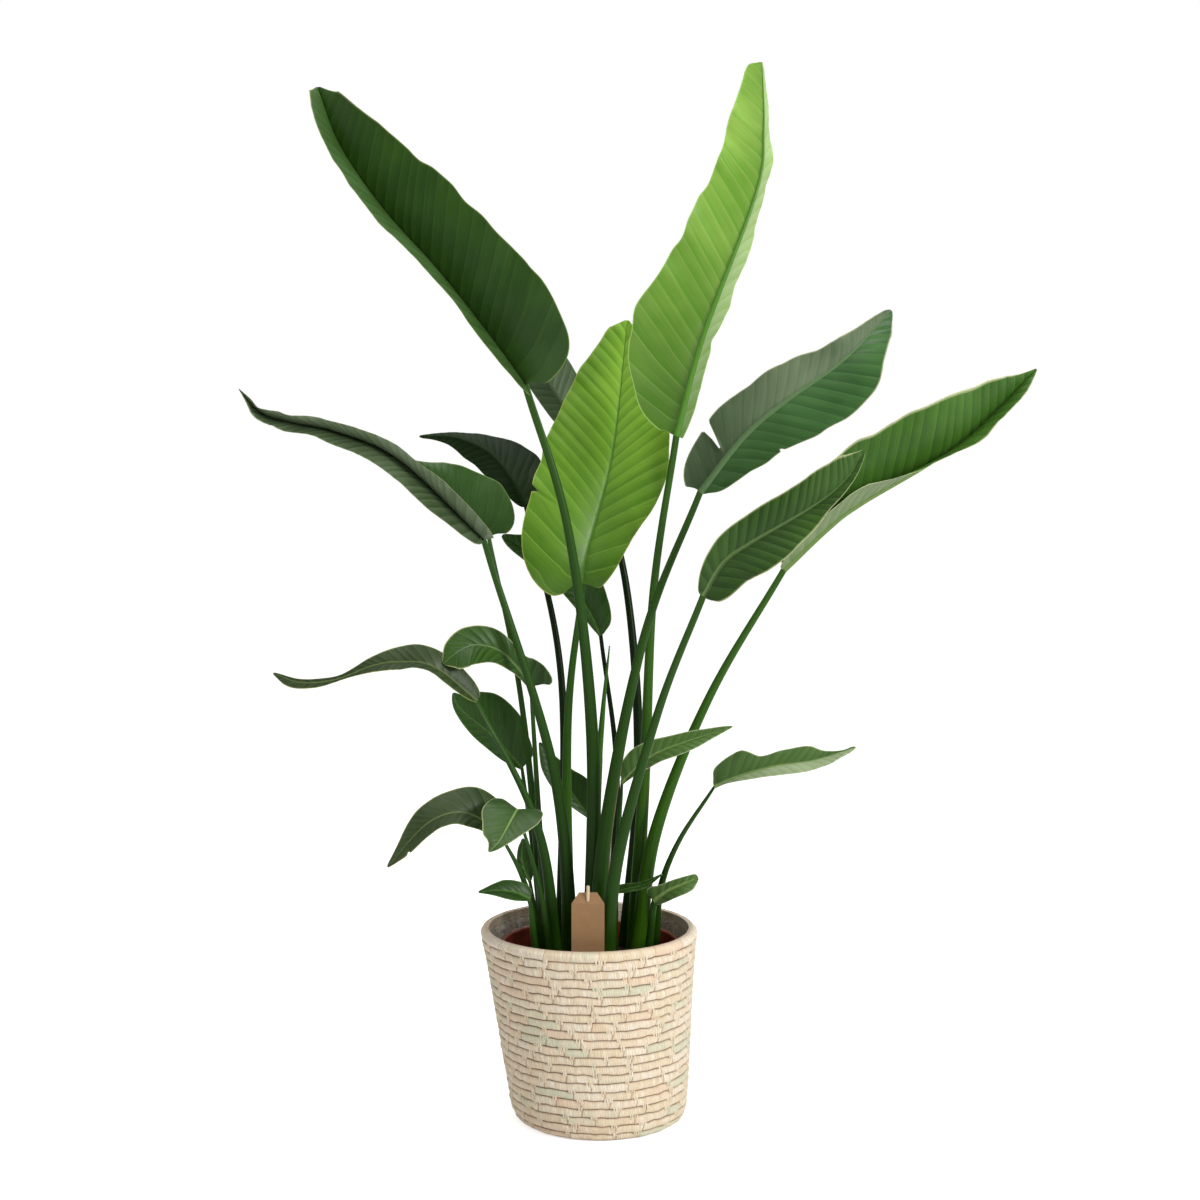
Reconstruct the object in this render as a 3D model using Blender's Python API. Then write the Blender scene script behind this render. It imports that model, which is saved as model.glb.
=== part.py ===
"""Potted bird of paradise: leaves on long stalks in a nursery pot, inside a coiled palm-leaf basket.

Metres, +Z up. The origin is the middle of the basket's base on the floor, and -Y is the plant's front.
Every leaf is a flat blade on a stalk that rises out of the soil. Each stalk and blade is its own solid.
"""

from dataclasses import dataclass
from math import cos, pi, radians, sin, tan

import bmesh
import bpy
import numpy as np

# ---- driving dimensions, in metres ----

GAP = 0.0003  # left between two pieces that touch

# The basket leans a little to the left: height, shift of the centre along X, outer radius.
BASKET_OUTSIDE = (
    (0.0, 0.0, 0.104),
    (0.006, -0.0005, 0.112),
    (0.020, -0.0013, 0.1172),
    (0.094, -0.0057, 0.1253),
    (0.150, -0.0090, 0.1308),
    (0.204, -0.0118, 0.1369),
    (0.245, -0.0145, 0.1423),
    (0.253, -0.0150, 0.1438),
    (0.260, -0.0152, 0.1410),
)
BASKET_WALL = 0.0095
BASKET_FLOOR = 0.0085
BASKET_SIDES = 56
BASKET_RIM = 0.253  # where the rim starts to round over
RIM_ROUND = 0.003
WALL_HEIGHTS = (0.030, 0.094, 0.150, 0.204)  # the inner wall's rings, above its bottom corner
INNER_CORNER = 0.0035  # how far that corner is rounded inwards
LINER_THICKNESS = 0.0008
LINER_RIM = 0.250
POT_SHIFT = -0.013  # the pot stands against the basket's leaning side
POT_RIM = 0.238
POT_RIM_RADIUS = 0.1185
POT_LIP_HEIGHT = 0.012
POT_LIP_DEPTH = 0.0025
POT_BASE_RADIUS = 0.085
POT_WALL = 0.0016
POT_SIDES = 48
POT_LIP_SLOPE = 0.002  # height over which the lip comes out of the wall
POT_FLOOR = BASKET_FLOOR + GAP + LINER_THICKNESS + GAP  # height of its underside
SOIL_TOP = 0.210
SOIL_EDGE = 0.0015  # the soil's top is rounded off this much at the pot's wall
TAG_WIDTH = 0.0425
TAG_THICKNESS = 0.0012
TAG_FRONT = -0.1065
TAG_CENTRE = -0.0155
TAG_CREASE = 0.315  # height of the fold across the card
TAG_FLAP = 0.0165
TAG_FLAP_TOP_WIDTH = 0.0235
TAG_FLAP_LEAN = radians(42)
STAKE_RADIUS = 0.0022
STAKE_TOP = 0.3375
STAKE_END = 0.0015  # how far its top end is rounded
STAKE_SIDES = 14
STAKE_HOLE_RADIUS = 0.0027
HOLE_BELOW = 0.0015  # the hole in the flap starts this far below the fold
STAKE_LINE = TAG_FRONT + TAG_THICKNESS + 2 * GAP + STAKE_HOLE_RADIUS  # the stake's Y, just behind the card

BLADE_EDGE = 0.0007  # thickness of a blade at its margin
BLADE_RIB = 0.0026  # and along its rib
RIB_TAPER = 0.6  # share of the rib's thickness that is gone at the tip
BLADE_COLUMNS = (0, 0.35, 0.7, 1)  # shares of each half's width
BLUNT_TIP = 0.994  # a blade ends at this share of its rib
BLADE_START = 0.003  # half width where the blade leaves its stalk
SLANT_IN = 0.02  # the veins slant in full only where a half is this much wider
VEIN_SLANT = (-40, 12, 20, 45)  # degrees that the side veins point forward
VEIN_PLACES = (0, 0.16, 0.5, 1)  # at these shares of the rib
STALK_SIDES = 8
STALK_FLATNESS = 0.62  # depth of a stalk against its width, at the soil
STALK_SWELL = 1.6  # how quickly a stalk widens towards the soil
STALK_RINGS = np.array([0, 0.06, 0.2, 0.33, 0.46, 0.6, 0.73, 0.87, 1])


@dataclass(frozen=True)
class Leaf:
    """One leaf. Points are in metres, lifts in degrees and the other sizes in millimetres."""

    name: str
    foot: tuple  # where the stalk rises out of the soil
    bends: tuple  # the points that it passes on its way up
    rib: tuple  # from the stalk's neck to the blade's tip
    face: tuple  # where the upper side looks, from the neck to the tip
    left_lift: tuple  # how far the left half folds up from flat, from the neck to the tip
    right_lift: tuple
    left: tuple  # half widths, at stations that lie closer together at the two ends
    right: tuple
    sheath: float  # half width of the stalk at the soil
    neck: float  # and at the neck
    rows: int = 13

    @property
    def stalk(self):
        """The stalk's points, from the soil to the neck."""
        return (*self.foot, SOIL_TOP), *self.bends, self.rib[0]


LEAVES = (
    Leaf(
        "tall_left",
        foot=(-0.011, -0.021), bends=((-0.01, -0.048, 0.521), (-0.04, -0.077, 0.791)),
        rib=((-0.094, -0.095, 0.978), (-0.132, -0.105, 1.031), (-0.2, -0.115, 1.118),
             (-0.269, -0.12, 1.196), (-0.322, -0.115, 1.274), (-0.351, -0.098, 1.347)),
        face=((0, -1, 0), (0.05, -1, 0.05)), left_lift=(82, 81, 76, 64), right_lift=(14, 10, 12),
        left=(30, 50, 62, 68, 68, 60, 46, 28, 12),
        right=(36, 86, 94, 88, 82, 68, 46, 26, 10),
        sheath=12.5, neck=4.8,
    ),
    Leaf(
        "tall_right",
        foot=(0.046, 0.058), bends=((0.06, 0.037, 0.462), (0.07, -0.015, 0.709)),
        rib=((0.097, -0.08, 0.914), (0.129, -0.095, 1.037), (0.196, -0.08, 1.218),
             (0.206, -0.065, 1.298), (0.205, -0.043, 1.386)),
        face=((0, 1, 0),), left_lift=(66, 66, 66, 60), right_lift=(15, 10, 10),
        left=(24, 36, 38, 44, 42, 34, 22, 12, 8),
        right=(20, 66, 94, 78, 68, 60, 44, 27, 16),
        sheath=11, neck=4.3,
    ),
    Leaf(
        "front_bright",
        foot=(-0.043, 0.03), bends=((-0.043, 0.014, 0.528),),
        rib=((-0.022, 0, 0.718), (-0.017, 0.005, 0.757), (0.017, 0.05, 0.889), (0.037, 0.115, 1.066)),
        face=((-0.1, -1, 0.35), (-0.1, -1, 0.45)), left_lift=(14, 8, 10), right_lift=(10, 12, 20),
        left=(40, 84, 94, 92, 82, 64, 42, 24, 10),
        right=(22, 44, 62, 78, 74, 60, 40, 22, 8),
        sheath=10, neck=4.2,
    ),
    Leaf(
        "upper_right",
        foot=(-0.004, -0.048), bends=((0.008, -0.059, 0.405), (0.058, -0.068, 0.66)),
        rib=((0.129, -0.05, 0.841), (0.182, -0.07, 0.911), (0.233, -0.08, 0.956), (0.308, -0.085, 1.01),
             (0.369, -0.075, 1.073)),
        face=((0.15, 1, -0.15), (0.15, 1, -0.2)), left_lift=(14, 12, 20), right_lift=(20, 18, 20),
        left=(10, 26, 42, 52, 62, 56, 34, 19, 8),
        right=(26, 48, 54, 52, 46, 34, 23, 14, 7),
        sheath=13, neck=4.3,
    ),
    Leaf(
        "right_far",
        foot=(0.05, 0.034), bends=((0.074, 0.024, 0.379), (0.144, 0.005, 0.565)),
        rib=((0.24, -0.02, 0.738), (0.298, -0.032, 0.795), (0.339, -0.036, 0.826),
             (0.463, -0.045, 0.903), (0.559, -0.052, 0.999)),
        face=((0, -1, 0.1),), left_lift=(22, 16, 20), right_lift=(110, 108, 75, 60),
        left=(12, 34, 62, 74, 72, 62, 39, 18, 6),
        right=(18, 40, 50, 50, 46, 40, 32, 20, 8),
        sheath=12, neck=4.2,
    ),
    Leaf(
        "right_mid",
        foot=(0.006, -0.076), bends=((0.022, -0.094, 0.367), (0.074, -0.133, 0.57)),
        rib=((0.128, -0.16, 0.717), (0.152, -0.165, 0.758), (0.184, -0.17, 0.783), (0.26, -0.18, 0.829),
             (0.299, -0.185, 0.861), (0.323, -0.19, 0.899)),
        face=((0.1, -1, 0.25),), left_lift=(16, 14, 20), right_lift=(24, 20, 30),
        left=(10, 18, 28, 33, 35, 36, 30, 18, 7),
        right=(14, 32, 42, 46, 34, 20, 12, 8, 4),
        sheath=11, neck=4.2,
    ),
    Leaf(
        "left_long",
        foot=(-0.036, -0.014), bends=((-0.06, -0.034, 0.471),),
        rib=((-0.15, -0.05, 0.779), (-0.256, -0.075, 0.883), (-0.336, -0.085, 0.919),
             (-0.385, -0.085, 0.929), (-0.429, -0.08, 0.942), (-0.46, -0.07, 0.974)),
        face=((0, -1, 0.1),), left_lift=(60, 64, 68, 76), right_lift=(58, 74, 76, 62),
        left=(16, 32, 44, 48, 46, 40, 28, 14, 5),
        right=(22, 40, 46, 46, 44, 38, 28, 14, 4),
        sheath=11, neck=4.3,
    ),
    Leaf(
        "left_back",
        foot=(-0.053, 0.052), bends=((-0.052, 0.072, 0.577),),
        rib=((-0.1, 0.1, 0.815), (-0.121, 0.115, 0.852), (-0.153, 0.135, 0.887), (-0.199, 0.15, 0.906),
             (-0.25, 0.16, 0.908)),
        face=((0.1, 0.9, -0.6),), left_lift=(30, 30, 20), right_lift=(20, 25, 20),
        left=(16, 42, 64, 56, 36, 18, 10, 6, 3),
        right=(8, 15, 22, 27, 26, 18, 10, 5, 3),
        sheath=8, neck=3.8, rows=11,
    ),
    Leaf(
        "left_mid",
        foot=(-0.072, 0.031), bends=((-0.104, 0.022, 0.553),),
        rib=((-0.147, 0.02, 0.778), (-0.162, 0.03, 0.803), (-0.214, 0.06, 0.852),
             (-0.258, 0.075, 0.878)),
        face=((0.2, -1, 0.8),), left_lift=(14,), right_lift=(14,),
        left=(10, 24, 37, 42, 39, 30, 19, 11, 5),
        right=(16, 42, 52, 46, 37, 25, 14, 7, 3),
        sheath=6.5, neck=3.0, rows=11,
    ),
    Leaf(
        "back_top",
        foot=(0.035, 0.08), bends=((0.053, 0.092, 0.45), (0.038, 0.111, 0.69)),
        rib=((-0.008, 0.13, 0.89), (-0.062, 0.165, 0.968), (-0.1, 0.185, 1.026), (-0.132, 0.2, 1.089)),
        face=((0.3, 1, -0.4),), left_lift=(30,), right_lift=(20,),
        left=(10, 24, 36, 43, 45, 42, 32, 18, 8),
        right=(8, 16, 23, 27, 28, 25, 18, 10, 4),
        sheath=10, neck=4.2, rows=11,
    ),
    Leaf(
        "centre_back",
        foot=(0.01, 0.05), bends=((0.023, 0.064, 0.447),),
        rib=((0.001, 0.07, 0.641), (-0.014, 0.085, 0.672), (-0.041, 0.105, 0.707), (-0.082, 0.12, 0.74),
             (-0.135, 0.13, 0.773)),
        face=((-0.3, -1, 0.5), (-0.3, -1, 0.6)), left_lift=(25,), right_lift=(15,),
        left=(4, 9, 14, 17, 18, 17, 15, 11, 5),
        right=(10, 24, 35, 38, 34, 27, 19, 11, 5),
        sheath=7, neck=2.8, rows=10,
    ),
    Leaf(
        "low_left_long",
        foot=(-0.057, -0.036), bends=((-0.08, -0.051, 0.398),),
        rib=((-0.159, -0.06, 0.571), (-0.212, -0.078, 0.617), (-0.254, -0.085, 0.625),
             (-0.29, -0.09, 0.621), (-0.339, -0.09, 0.603), (-0.385, -0.085, 0.599),
             (-0.421, -0.075, 0.61)),
        face=((0.2, -0.9, 0.8), (-0.1, -0.8, 1), (0, -0.7, 1)),
        left_lift=(30, 35, 0, -45), right_lift=(10, 15, 40),
        left=(8, 18, 28, 31, 17, 4, 8, 9, 4),
        right=(12, 20, 24, 25, 14, 5, 5, 4, 2),
        sheath=10.5, neck=3.2, rows=12,
    ),
    Leaf(
        "mid_left_round",
        foot=(-0.069, 0), bends=((-0.078, 0, 0.349),),
        rib=((-0.091, 0, 0.58), (-0.108, -0.012, 0.608), (-0.133, -0.03, 0.634), (-0.162, -0.05, 0.643),
             (-0.183, -0.065, 0.636), (-0.202, -0.075, 0.621)),
        face=((0.2, -1, 0.4), (-0.2, -1, 0.7)), left_lift=(5,), right_lift=(5,),
        left=(4, 6, 10, 16, 24, 30, 26, 16, 7),
        right=(28, 31, 19, 19, 26, 25, 20, 12, 5),
        sheath=6.5, neck=2.8, rows=10,
    ),
    Leaf(
        "left_small_dark",
        foot=(-0.076, 0.043), bends=((-0.09, 0.04, 0.35),),
        rib=((-0.105, 0.04, 0.465), (-0.141, 0.045, 0.505), (-0.186, 0.05, 0.543),
             (-0.198, 0.052, 0.566)),
        face=((0, -1, 0.3),), left_lift=(10,), right_lift=(10,),
        left=(4, 9, 15, 19, 19, 15, 10, 6, 3),
        right=(10, 27, 40, 46, 46, 36, 24, 13, 5),
        sheath=6, neck=2.6, rows=10,
    ),
    Leaf(
        "low_left",
        foot=(-0.066, -0.048), bends=((-0.098, -0.066, 0.332),),
        rib=((-0.13, -0.075, 0.401), (-0.146, -0.08, 0.415), (-0.173, -0.09, 0.43),
             (-0.201, -0.1, 0.429), (-0.23, -0.11, 0.412), (-0.272, -0.115, 0.364)),
        face=((0.3, -0.8, 1), (-0.3, -0.9, 0.7), (-0.6, -1, 0.2)), left_lift=(15,), right_lift=(10,),
        left=(10, 18, 23, 24, 22, 19, 14, 8, 3),
        right=(14, 36, 38, 30, 25, 18, 11, 6, 3),
        sheath=8, neck=2.4, rows=11,
    ),
    Leaf(
        "low_left_front",
        foot=(-0.06, -0.065), bends=((-0.078, -0.073, 0.324),),
        rib=((-0.106, -0.09, 0.435), (-0.111, -0.115, 0.43), (-0.127, -0.15, 0.406),
             (-0.14, -0.16, 0.394)),
        face=((0.1, -0.8, 0.8), (0.1, -1, 0.5)), left_lift=(10,), right_lift=(10,),
        left=(20, 34, 36, 30, 22, 15, 9, 5, 2),
        right=(20, 34, 38, 38, 32, 24, 15, 8, 3),
        sheath=6, neck=2.2, rows=9,
    ),
    Leaf(
        "low_left_pale",
        foot=(-0.077, 0.014), bends=((-0.087, 0.012, 0.277),),
        rib=((-0.094, 0.012, 0.317), (-0.101, 0.015, 0.331), (-0.105, 0.018, 0.351),
             (-0.103, 0.018, 0.374)),
        face=((0, -1, 0.2),), left_lift=(5,), right_lift=(5,),
        left=(2, 3, 5, 6, 7, 6, 5, 3, 2),
        right=(4, 8, 12, 14, 14, 12, 8, 4, 2),
        sheath=4, neck=2.2, rows=8,
    ),
    Leaf(
        "low_left_tiny",
        foot=(-0.081, -0.058), bends=((-0.087, -0.071, 0.268),),
        rib=((-0.09, -0.082, 0.315), (-0.11, -0.088, 0.325), (-0.133, -0.094, 0.329),
             (-0.157, -0.098, 0.328)),
        face=((0, -0.6, 1),), left_lift=(5,), right_lift=(30,),
        left=(3, 8, 13, 16, 15, 11, 7, 4, 2),
        right=(8, 14, 16, 16, 15, 11, 7, 4, 2),
        sheath=6, neck=3.4, rows=8,
    ),
    Leaf(
        "low_right",
        foot=(0.074, 0.032), bends=((0.08, 0.012, 0.301), (0.103, -0.014, 0.374)),
        rib=((0.15, -0.03, 0.453), (0.183, -0.04, 0.469), (0.228, -0.05, 0.484), (0.28, -0.055, 0.493),
             (0.333, -0.055, 0.51)),
        face=((-0.1, -0.9, 0.8), (0.1, -0.9, 0.7)), left_lift=(20, 20, 25), right_lift=(15, 20, 25),
        left=(10, 25, 33, 18, 20, 19, 8, 2, 2),
        right=(2, 4, 9, 14, 19, 18, 14, 9, 4),
        sheath=7, neck=2.6, rows=10,
    ),
    Leaf(
        "right_small",
        foot=(0.018, 0.02), bends=((0.022, 0.012, 0.337),),
        rib=((0.029, 0, 0.452), (0.053, -0.01, 0.478), (0.086, -0.02, 0.501), (0.174, -0.035, 0.534)),
        face=((0, -1, 0.7),), left_lift=(20, 20, 30), right_lift=(20, 20, 30),
        left=(5, 16, 23, 20, 15, 12, 8, 5, 2),
        right=(3, 6, 11, 16, 19, 18, 12, 7, 3),
        sheath=6, neck=2.6, rows=10,
    ),
    Leaf(
        "right_tiny",
        foot=(0.063, -0.014), bends=((0.067, -0.022, 0.255),),
        rib=((0.071, -0.03, 0.299), (0.089, -0.04, 0.316), (0.11, -0.05, 0.328),
             (0.129, -0.055, 0.337)),
        face=((-0.1, -1, 0.5),), left_lift=(10,), right_lift=(10,),
        left=(10, 18, 14, 11, 10, 9, 8, 7, 5),
        right=(5, 9, 12, 14, 15, 15, 13, 8, 4),
        sheath=6.5, neck=4.6, rows=8,
    ),
    Leaf(
        "right_dark_tiny",
        foot=(0.016, 0.002), bends=((0.02, 0.002, 0.271),),
        rib=((0.021, 0.002, 0.304), (0.04, -0.002, 0.311), (0.06, -0.006, 0.317),
             (0.084, -0.01, 0.332)),
        face=((0, -1, 0.6),), left_lift=(30,), right_lift=(30,),
        left=(4, 8, 8, 6, 5, 4, 3, 2, 1),
        right=(3, 5, 7, 8, 8, 6, 4, 2, 1),
        sheath=5, neck=2.4, rows=8,
    ),
    Leaf(
        "back_small",
        foot=(0, 0.084), bends=((-0.003, 0.093, 0.322),),
        rib=((-0.011, 0.1, 0.382), (-0.034, 0.105, 0.413), (-0.059, 0.11, 0.45),
             (-0.084, 0.115, 0.488)),
        face=((0, -1, 0.3),), left_lift=(20,), right_lift=(15,),
        left=(3, 6, 12, 18, 22, 20, 14, 8, 3),
        right=(8, 20, 30, 28, 20, 13, 8, 5, 3),
        sheath=6, neck=2.6, rows=9,
    ),
)

# The newest leaf is still a rolled spear.
SPEAR = (
    (-0.009, 0.006, SOIL_TOP),
    (-0.007, 0.004, 0.330),
    (-0.003, 0.002, 0.450),
    (0.004, 0, 0.550),
    (0.0125, -0.002, 0.636),
)
SPEAR_RADIUS = (0.0055, 0.0055, 0.0050, 0.0035, 0.0008)


# ---- curves and leaf shape ----


def unit(vectors):
    """Vectors scaled to length one."""
    vectors = np.asarray(vectors, float)
    return vectors / np.maximum(np.linalg.norm(vectors, axis=-1, keepdims=True), 1e-12)


def cubic(before, start, end, after, t):
    """A Catmull-Rom stretch from start to end."""
    return 0.5 * (
        2 * start
        + (end - before) * t
        + (2 * before - 5 * start + 4 * end - after) * t**2
        + (3 * start - before - 3 * end + after) * t**3
    )


def along(points, shares):
    """Places on a smooth curve through the points, at shares of its length."""
    points = np.asarray(points, float)
    ends = np.vstack([2 * points[0] - points[1], points, 2 * points[-1] - points[-2]])
    t = np.linspace(0, 1, 24, endpoint=False)[:, None]
    fine = [cubic(*ends[i : i + 4], t) for i in range(len(points) - 1)]
    fine = np.vstack([*fine, points[-1:]])
    length = np.concatenate([[0], np.cumsum(np.linalg.norm(np.diff(fine, axis=0), axis=1))])
    wanted = np.asarray(shares, float) * length[-1]
    return np.stack([np.interp(wanted, length, fine[:, k]) for k in range(3)], -1)


def half_width(widths, shares):
    """Half width of a blade at shares of its rib, in metres, from the widths at its stations."""
    knots = np.concatenate([[BLADE_START], np.array(widths) / 1000, [0.0]])
    steps = len(knots) - 1
    place = np.arccos(1 - 2 * np.clip(shares, 0, 1)) / pi * steps
    first = np.clip(place.astype(int), 0, steps - 1)
    ends = np.concatenate([[1.3 * knots[0] - 0.3 * knots[1]], knots, [-0.3 * knots[-2]]])
    value = cubic(ends[first], ends[first + 1], ends[first + 2], ends[first + 3], place - first)
    return np.maximum(value, 0.0)


def spread(values, shares):
    """A value that changes evenly along the rib, from a few given ones."""
    values = np.asarray(values, float)
    places = np.linspace(0, 1, len(values))
    if values.ndim == 1:
        return np.interp(shares, places, values)
    return np.stack([np.interp(shares, places, values[:, k]) for k in range(values.shape[1])], -1)


def start_direction(leaf):
    """The way that the rib leaves the stalk's neck."""
    start, after = along(leaf.rib, (0, 0.01))
    return unit(after - start)


def blade_half(leaf, side, shares, across):
    """Points of half a blade: a row for each share of the rib, and a column for each share of the width."""
    step = 1e-3
    ahead = along(leaf.rib, np.clip(shares + step, 0, 1))
    behind = along(leaf.rib, np.clip(shares - step, 0, 1))
    forward = unit(ahead - behind)
    facing = spread(leaf.face, shares)
    up = unit(facing - (facing * forward).sum(-1, keepdims=True) * forward)
    sign = 1 if side == "right" else -1
    lifts = leaf.right_lift if side == "right" else leaf.left_lift
    widths = leaf.right if side == "right" else leaf.left
    lift = np.radians(spread(lifts, shares))[:, None]
    out = sign * np.cos(lift) * np.cross(forward, up) + np.sin(lift) * up
    width = half_width(widths, shares)
    slant = np.interp(shares, VEIN_PLACES, VEIN_SLANT)
    swept = width * np.tan(np.radians(slant)) * np.clip((width - BLADE_START) / SLANT_IN, 0, 1)
    sideways = (width[:, None] * out)[:, None]
    onward = (swept[:, None] * forward)[:, None]
    u = across[None, :, None]
    return along(leaf.rib, shares)[:, None] + u * sideways + u**2 * onward


# ---- making objects ----


def material(name, colour, roughness):
    """A Principled material with a plain colour."""
    made = bpy.data.materials.new(name)
    made.use_nodes = True
    shader = made.node_tree.nodes["Principled BSDF"]
    shader.inputs["Base Color"].default_value = (*colour, 1)
    shader.inputs["Roughness"].default_value = roughness
    shader.inputs["Metallic"].default_value = 0
    return made


def add_object(name, points, faces, finish, smooth=True):
    """One object from points and faces, with its faces turned outwards."""
    shape = bmesh.new()
    corners = [shape.verts.new(tuple(point)) for point in points]
    for face in faces:
        shape.faces.new([corners[i] for i in face])
    bmesh.ops.recalc_face_normals(shape, faces=shape.faces)
    mesh = bpy.data.meshes.new(name)
    shape.to_mesh(mesh)
    shape.free()
    mesh.materials.append(finish)
    if smooth:
        mesh.shade_smooth()
        mesh.set_sharp_from_angle(angle=radians(40))
    made = bpy.data.objects.new(name, mesh)
    bpy.context.scene.collection.objects.link(made)
    return made


def stacked_rings(rings):
    """Points and faces of a closed body made of equal rings of points, capped at the first and the last."""
    count = len(rings[0])
    faces = [tuple(range(count)), tuple(range((len(rings) - 1) * count, len(rings) * count))[::-1]]
    for ring in range(len(rings) - 1):
        for side in range(count):
            after = (side + 1) % count
            low = ring * count
            faces.append((low + after, low + side, low + count + side, low + count + after))
    return np.vstack(rings), faces


def level_ring(centre, radius, sides):
    """A level ring of points around a centre."""
    angles = np.arange(sides) * 2 * pi / sides
    turned = np.stack([np.cos(angles), np.sin(angles), np.zeros(sides)], -1)
    return np.asarray(centre, float) + radius * turned


def add_turned(name, profile, sides, finish):
    """A closed body turned from (centre shift, radius, height) rings, from the outside bottom inwards."""
    rings = [level_ring((shift, 0, z), radius, sides) for shift, radius, z in profile]
    points, faces = stacked_rings(rings)
    return add_object(name, points, faces, finish)


def add_stalk(leaf, finish):
    """A leaf's stalk: a flattened tube that widens into a sheath at the soil."""
    shares = STALK_RINGS
    middle = along(leaf.stalk, shares)
    middle[:, 2] = np.maximum(middle[:, 2], SOIL_TOP + GAP)
    ahead = along(leaf.stalk, np.clip(shares + 0.01, 0, 1))
    behind = along(leaf.stalk, np.clip(shares - 0.01, 0, 1))
    forward = unit(ahead - behind)
    forward[0] = (0, 0, 1)
    forward[-1] = start_direction(leaf)
    wide = leaf.neck + (leaf.sheath - leaf.neck) * (1 - shares) ** STALK_SWELL
    deep = wide * (STALK_FLATNESS + (1 - STALK_FLATNESS) * np.sqrt(shares))
    angles = np.arange(STALK_SIDES) * 2 * pi / STALK_SIDES
    rings = []
    for place, direction, a, b in zip(middle, forward, wide / 1000, deep / 1000):
        across = unit((1, 0, 0) - direction[0] * direction)
        depth = np.cross(direction, across)
        rings.append(place + a * np.cos(angles)[:, None] * across + b * np.sin(angles)[:, None] * depth)
    points, faces = stacked_rings(rings)
    return add_object(f"stalk_{leaf.name}", points, faces, finish)


def add_blade(leaf, finish):
    """A leaf's blade: a thin closed sheet, thickest along the rib."""
    shares = (1 - np.cos(np.linspace(0, pi, leaf.rows))) / 2
    shares[-1] = BLUNT_TIP
    across = np.array(BLADE_COLUMNS)
    left = blade_half(leaf, "left", shares, across)[:, :0:-1]
    right = blade_half(leaf, "right", shares, across)
    sheet = np.concatenate([left, right], axis=1)
    rib_start = start_direction(leaf)
    sheet[0] += GAP * rib_start
    normal = unit(np.cross(np.gradient(sheet, axis=0), np.gradient(sheet, axis=1)))
    u = np.abs(np.linspace(-1, 1, sheet.shape[1]))
    taper = 1 - RIB_TAPER * shares[:, None]
    thick = BLADE_EDGE + (BLADE_RIB - BLADE_EDGE) * (1 - u[None, :]) ** 3 * taper
    offset = normal * thick[..., None] / 2
    offset[0] -= (offset[0] @ rib_start)[:, None] * rib_start
    rows, columns = sheet.shape[:2]
    points = np.concatenate([(sheet + offset).reshape(-1, 3), (sheet - offset).reshape(-1, 3)])
    below = rows * columns
    faces = []
    for row in range(rows - 1):
        for column in range(columns - 1):
            a = row * columns + column
            quad = (a, a + 1, a + columns + 1, a + columns)
            faces.append(quad)
            faces.append(tuple(below + i for i in reversed(quad)))
    rim = list(range(columns))
    rim += [row * columns + columns - 1 for row in range(1, rows)]
    rim += [(rows - 1) * columns + column for column in range(columns - 2, -1, -1)]
    rim += [row * columns for row in range(rows - 2, 0, -1)]
    for here, after in zip(rim, rim[1:] + rim[:1]):
        faces.append((after, here, below + here, below + after))
    return add_object(f"leaf_{leaf.name}", points, faces, finish)


def add_spear(finish):
    """The newest leaf, rolled tight."""
    middle = np.array(SPEAR)
    middle[0, 2] += GAP
    rings = [level_ring(place, radius, STALK_SIDES) for place, radius in zip(middle, SPEAR_RADIUS)]
    points, faces = stacked_rings(rings)
    return add_object("leaf_new_spear", points, faces, finish)


def basket_inside(height, inset):
    """Centre shift and radius of the basket's inner wall, less an inset, at a height."""
    heights, shifts, radii = zip(*BASKET_OUTSIDE)
    shift = float(np.interp(height, heights, shifts))
    return shift, float(np.interp(height, heights, radii)) - BASKET_WALL - inset


def add_basket(finish):
    """The basket: a leaning coiled wall with a floor."""
    profile = [(shift, radius, z) for z, shift, radius in BASKET_OUTSIDE]
    shift, radius = basket_inside(BASKET_RIM, 0)
    profile.append((shift, radius + RIM_ROUND, BASKET_OUTSIDE[-1][0]))
    profile += [(*basket_inside(z, 0), z) for z in (BASKET_RIM, *reversed(WALL_HEIGHTS))]
    profile.append((*basket_inside(BASKET_FLOOR, INNER_CORNER), BASKET_FLOOR))
    return add_turned("basket", profile, BASKET_SIDES, finish)


def add_liner(finish):
    """The clear plastic liner that keeps water off the basket."""
    outer = [(*basket_inside(z, GAP), z) for z in (*WALL_HEIGHTS, LINER_RIM)]
    inner = [(shift, radius - LINER_THICKNESS, z) for shift, radius, z in reversed(outer)]
    low = BASKET_FLOOR + GAP
    shift, radius = basket_inside(low, INNER_CORNER + 2 * GAP)
    bottom = (shift, radius, low)
    inner_bottom = (shift, radius - LINER_THICKNESS, low + LINER_THICKNESS)
    return add_turned("liner", [bottom, *outer, *inner, inner_bottom], BASKET_SIDES, finish)


def pot_radius(height):
    """Outer radius of the nursery pot's wall at a height."""
    top = POT_RIM_RADIUS - POT_LIP_DEPTH
    share = (height - POT_FLOOR) / (POT_RIM - POT_FLOOR)
    return POT_BASE_RADIUS + (top - POT_BASE_RADIUS) * share


def add_pot(finish):
    """The nursery pot, with a lip around its rim."""
    lip = POT_RIM - POT_LIP_HEIGHT
    profile = [
        (POT_BASE_RADIUS, POT_FLOOR),
        (pot_radius(lip), lip),
        (POT_RIM_RADIUS, lip + POT_LIP_SLOPE),
        (POT_RIM_RADIUS, POT_RIM),
        (pot_radius(POT_RIM) - POT_WALL, POT_RIM),
        (pot_radius(POT_FLOOR + POT_WALL) - POT_WALL, POT_FLOOR + POT_WALL),
    ]
    return add_turned("nursery_pot", [(POT_SHIFT, radius, z) for radius, z in profile], POT_SIDES, finish)


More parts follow.
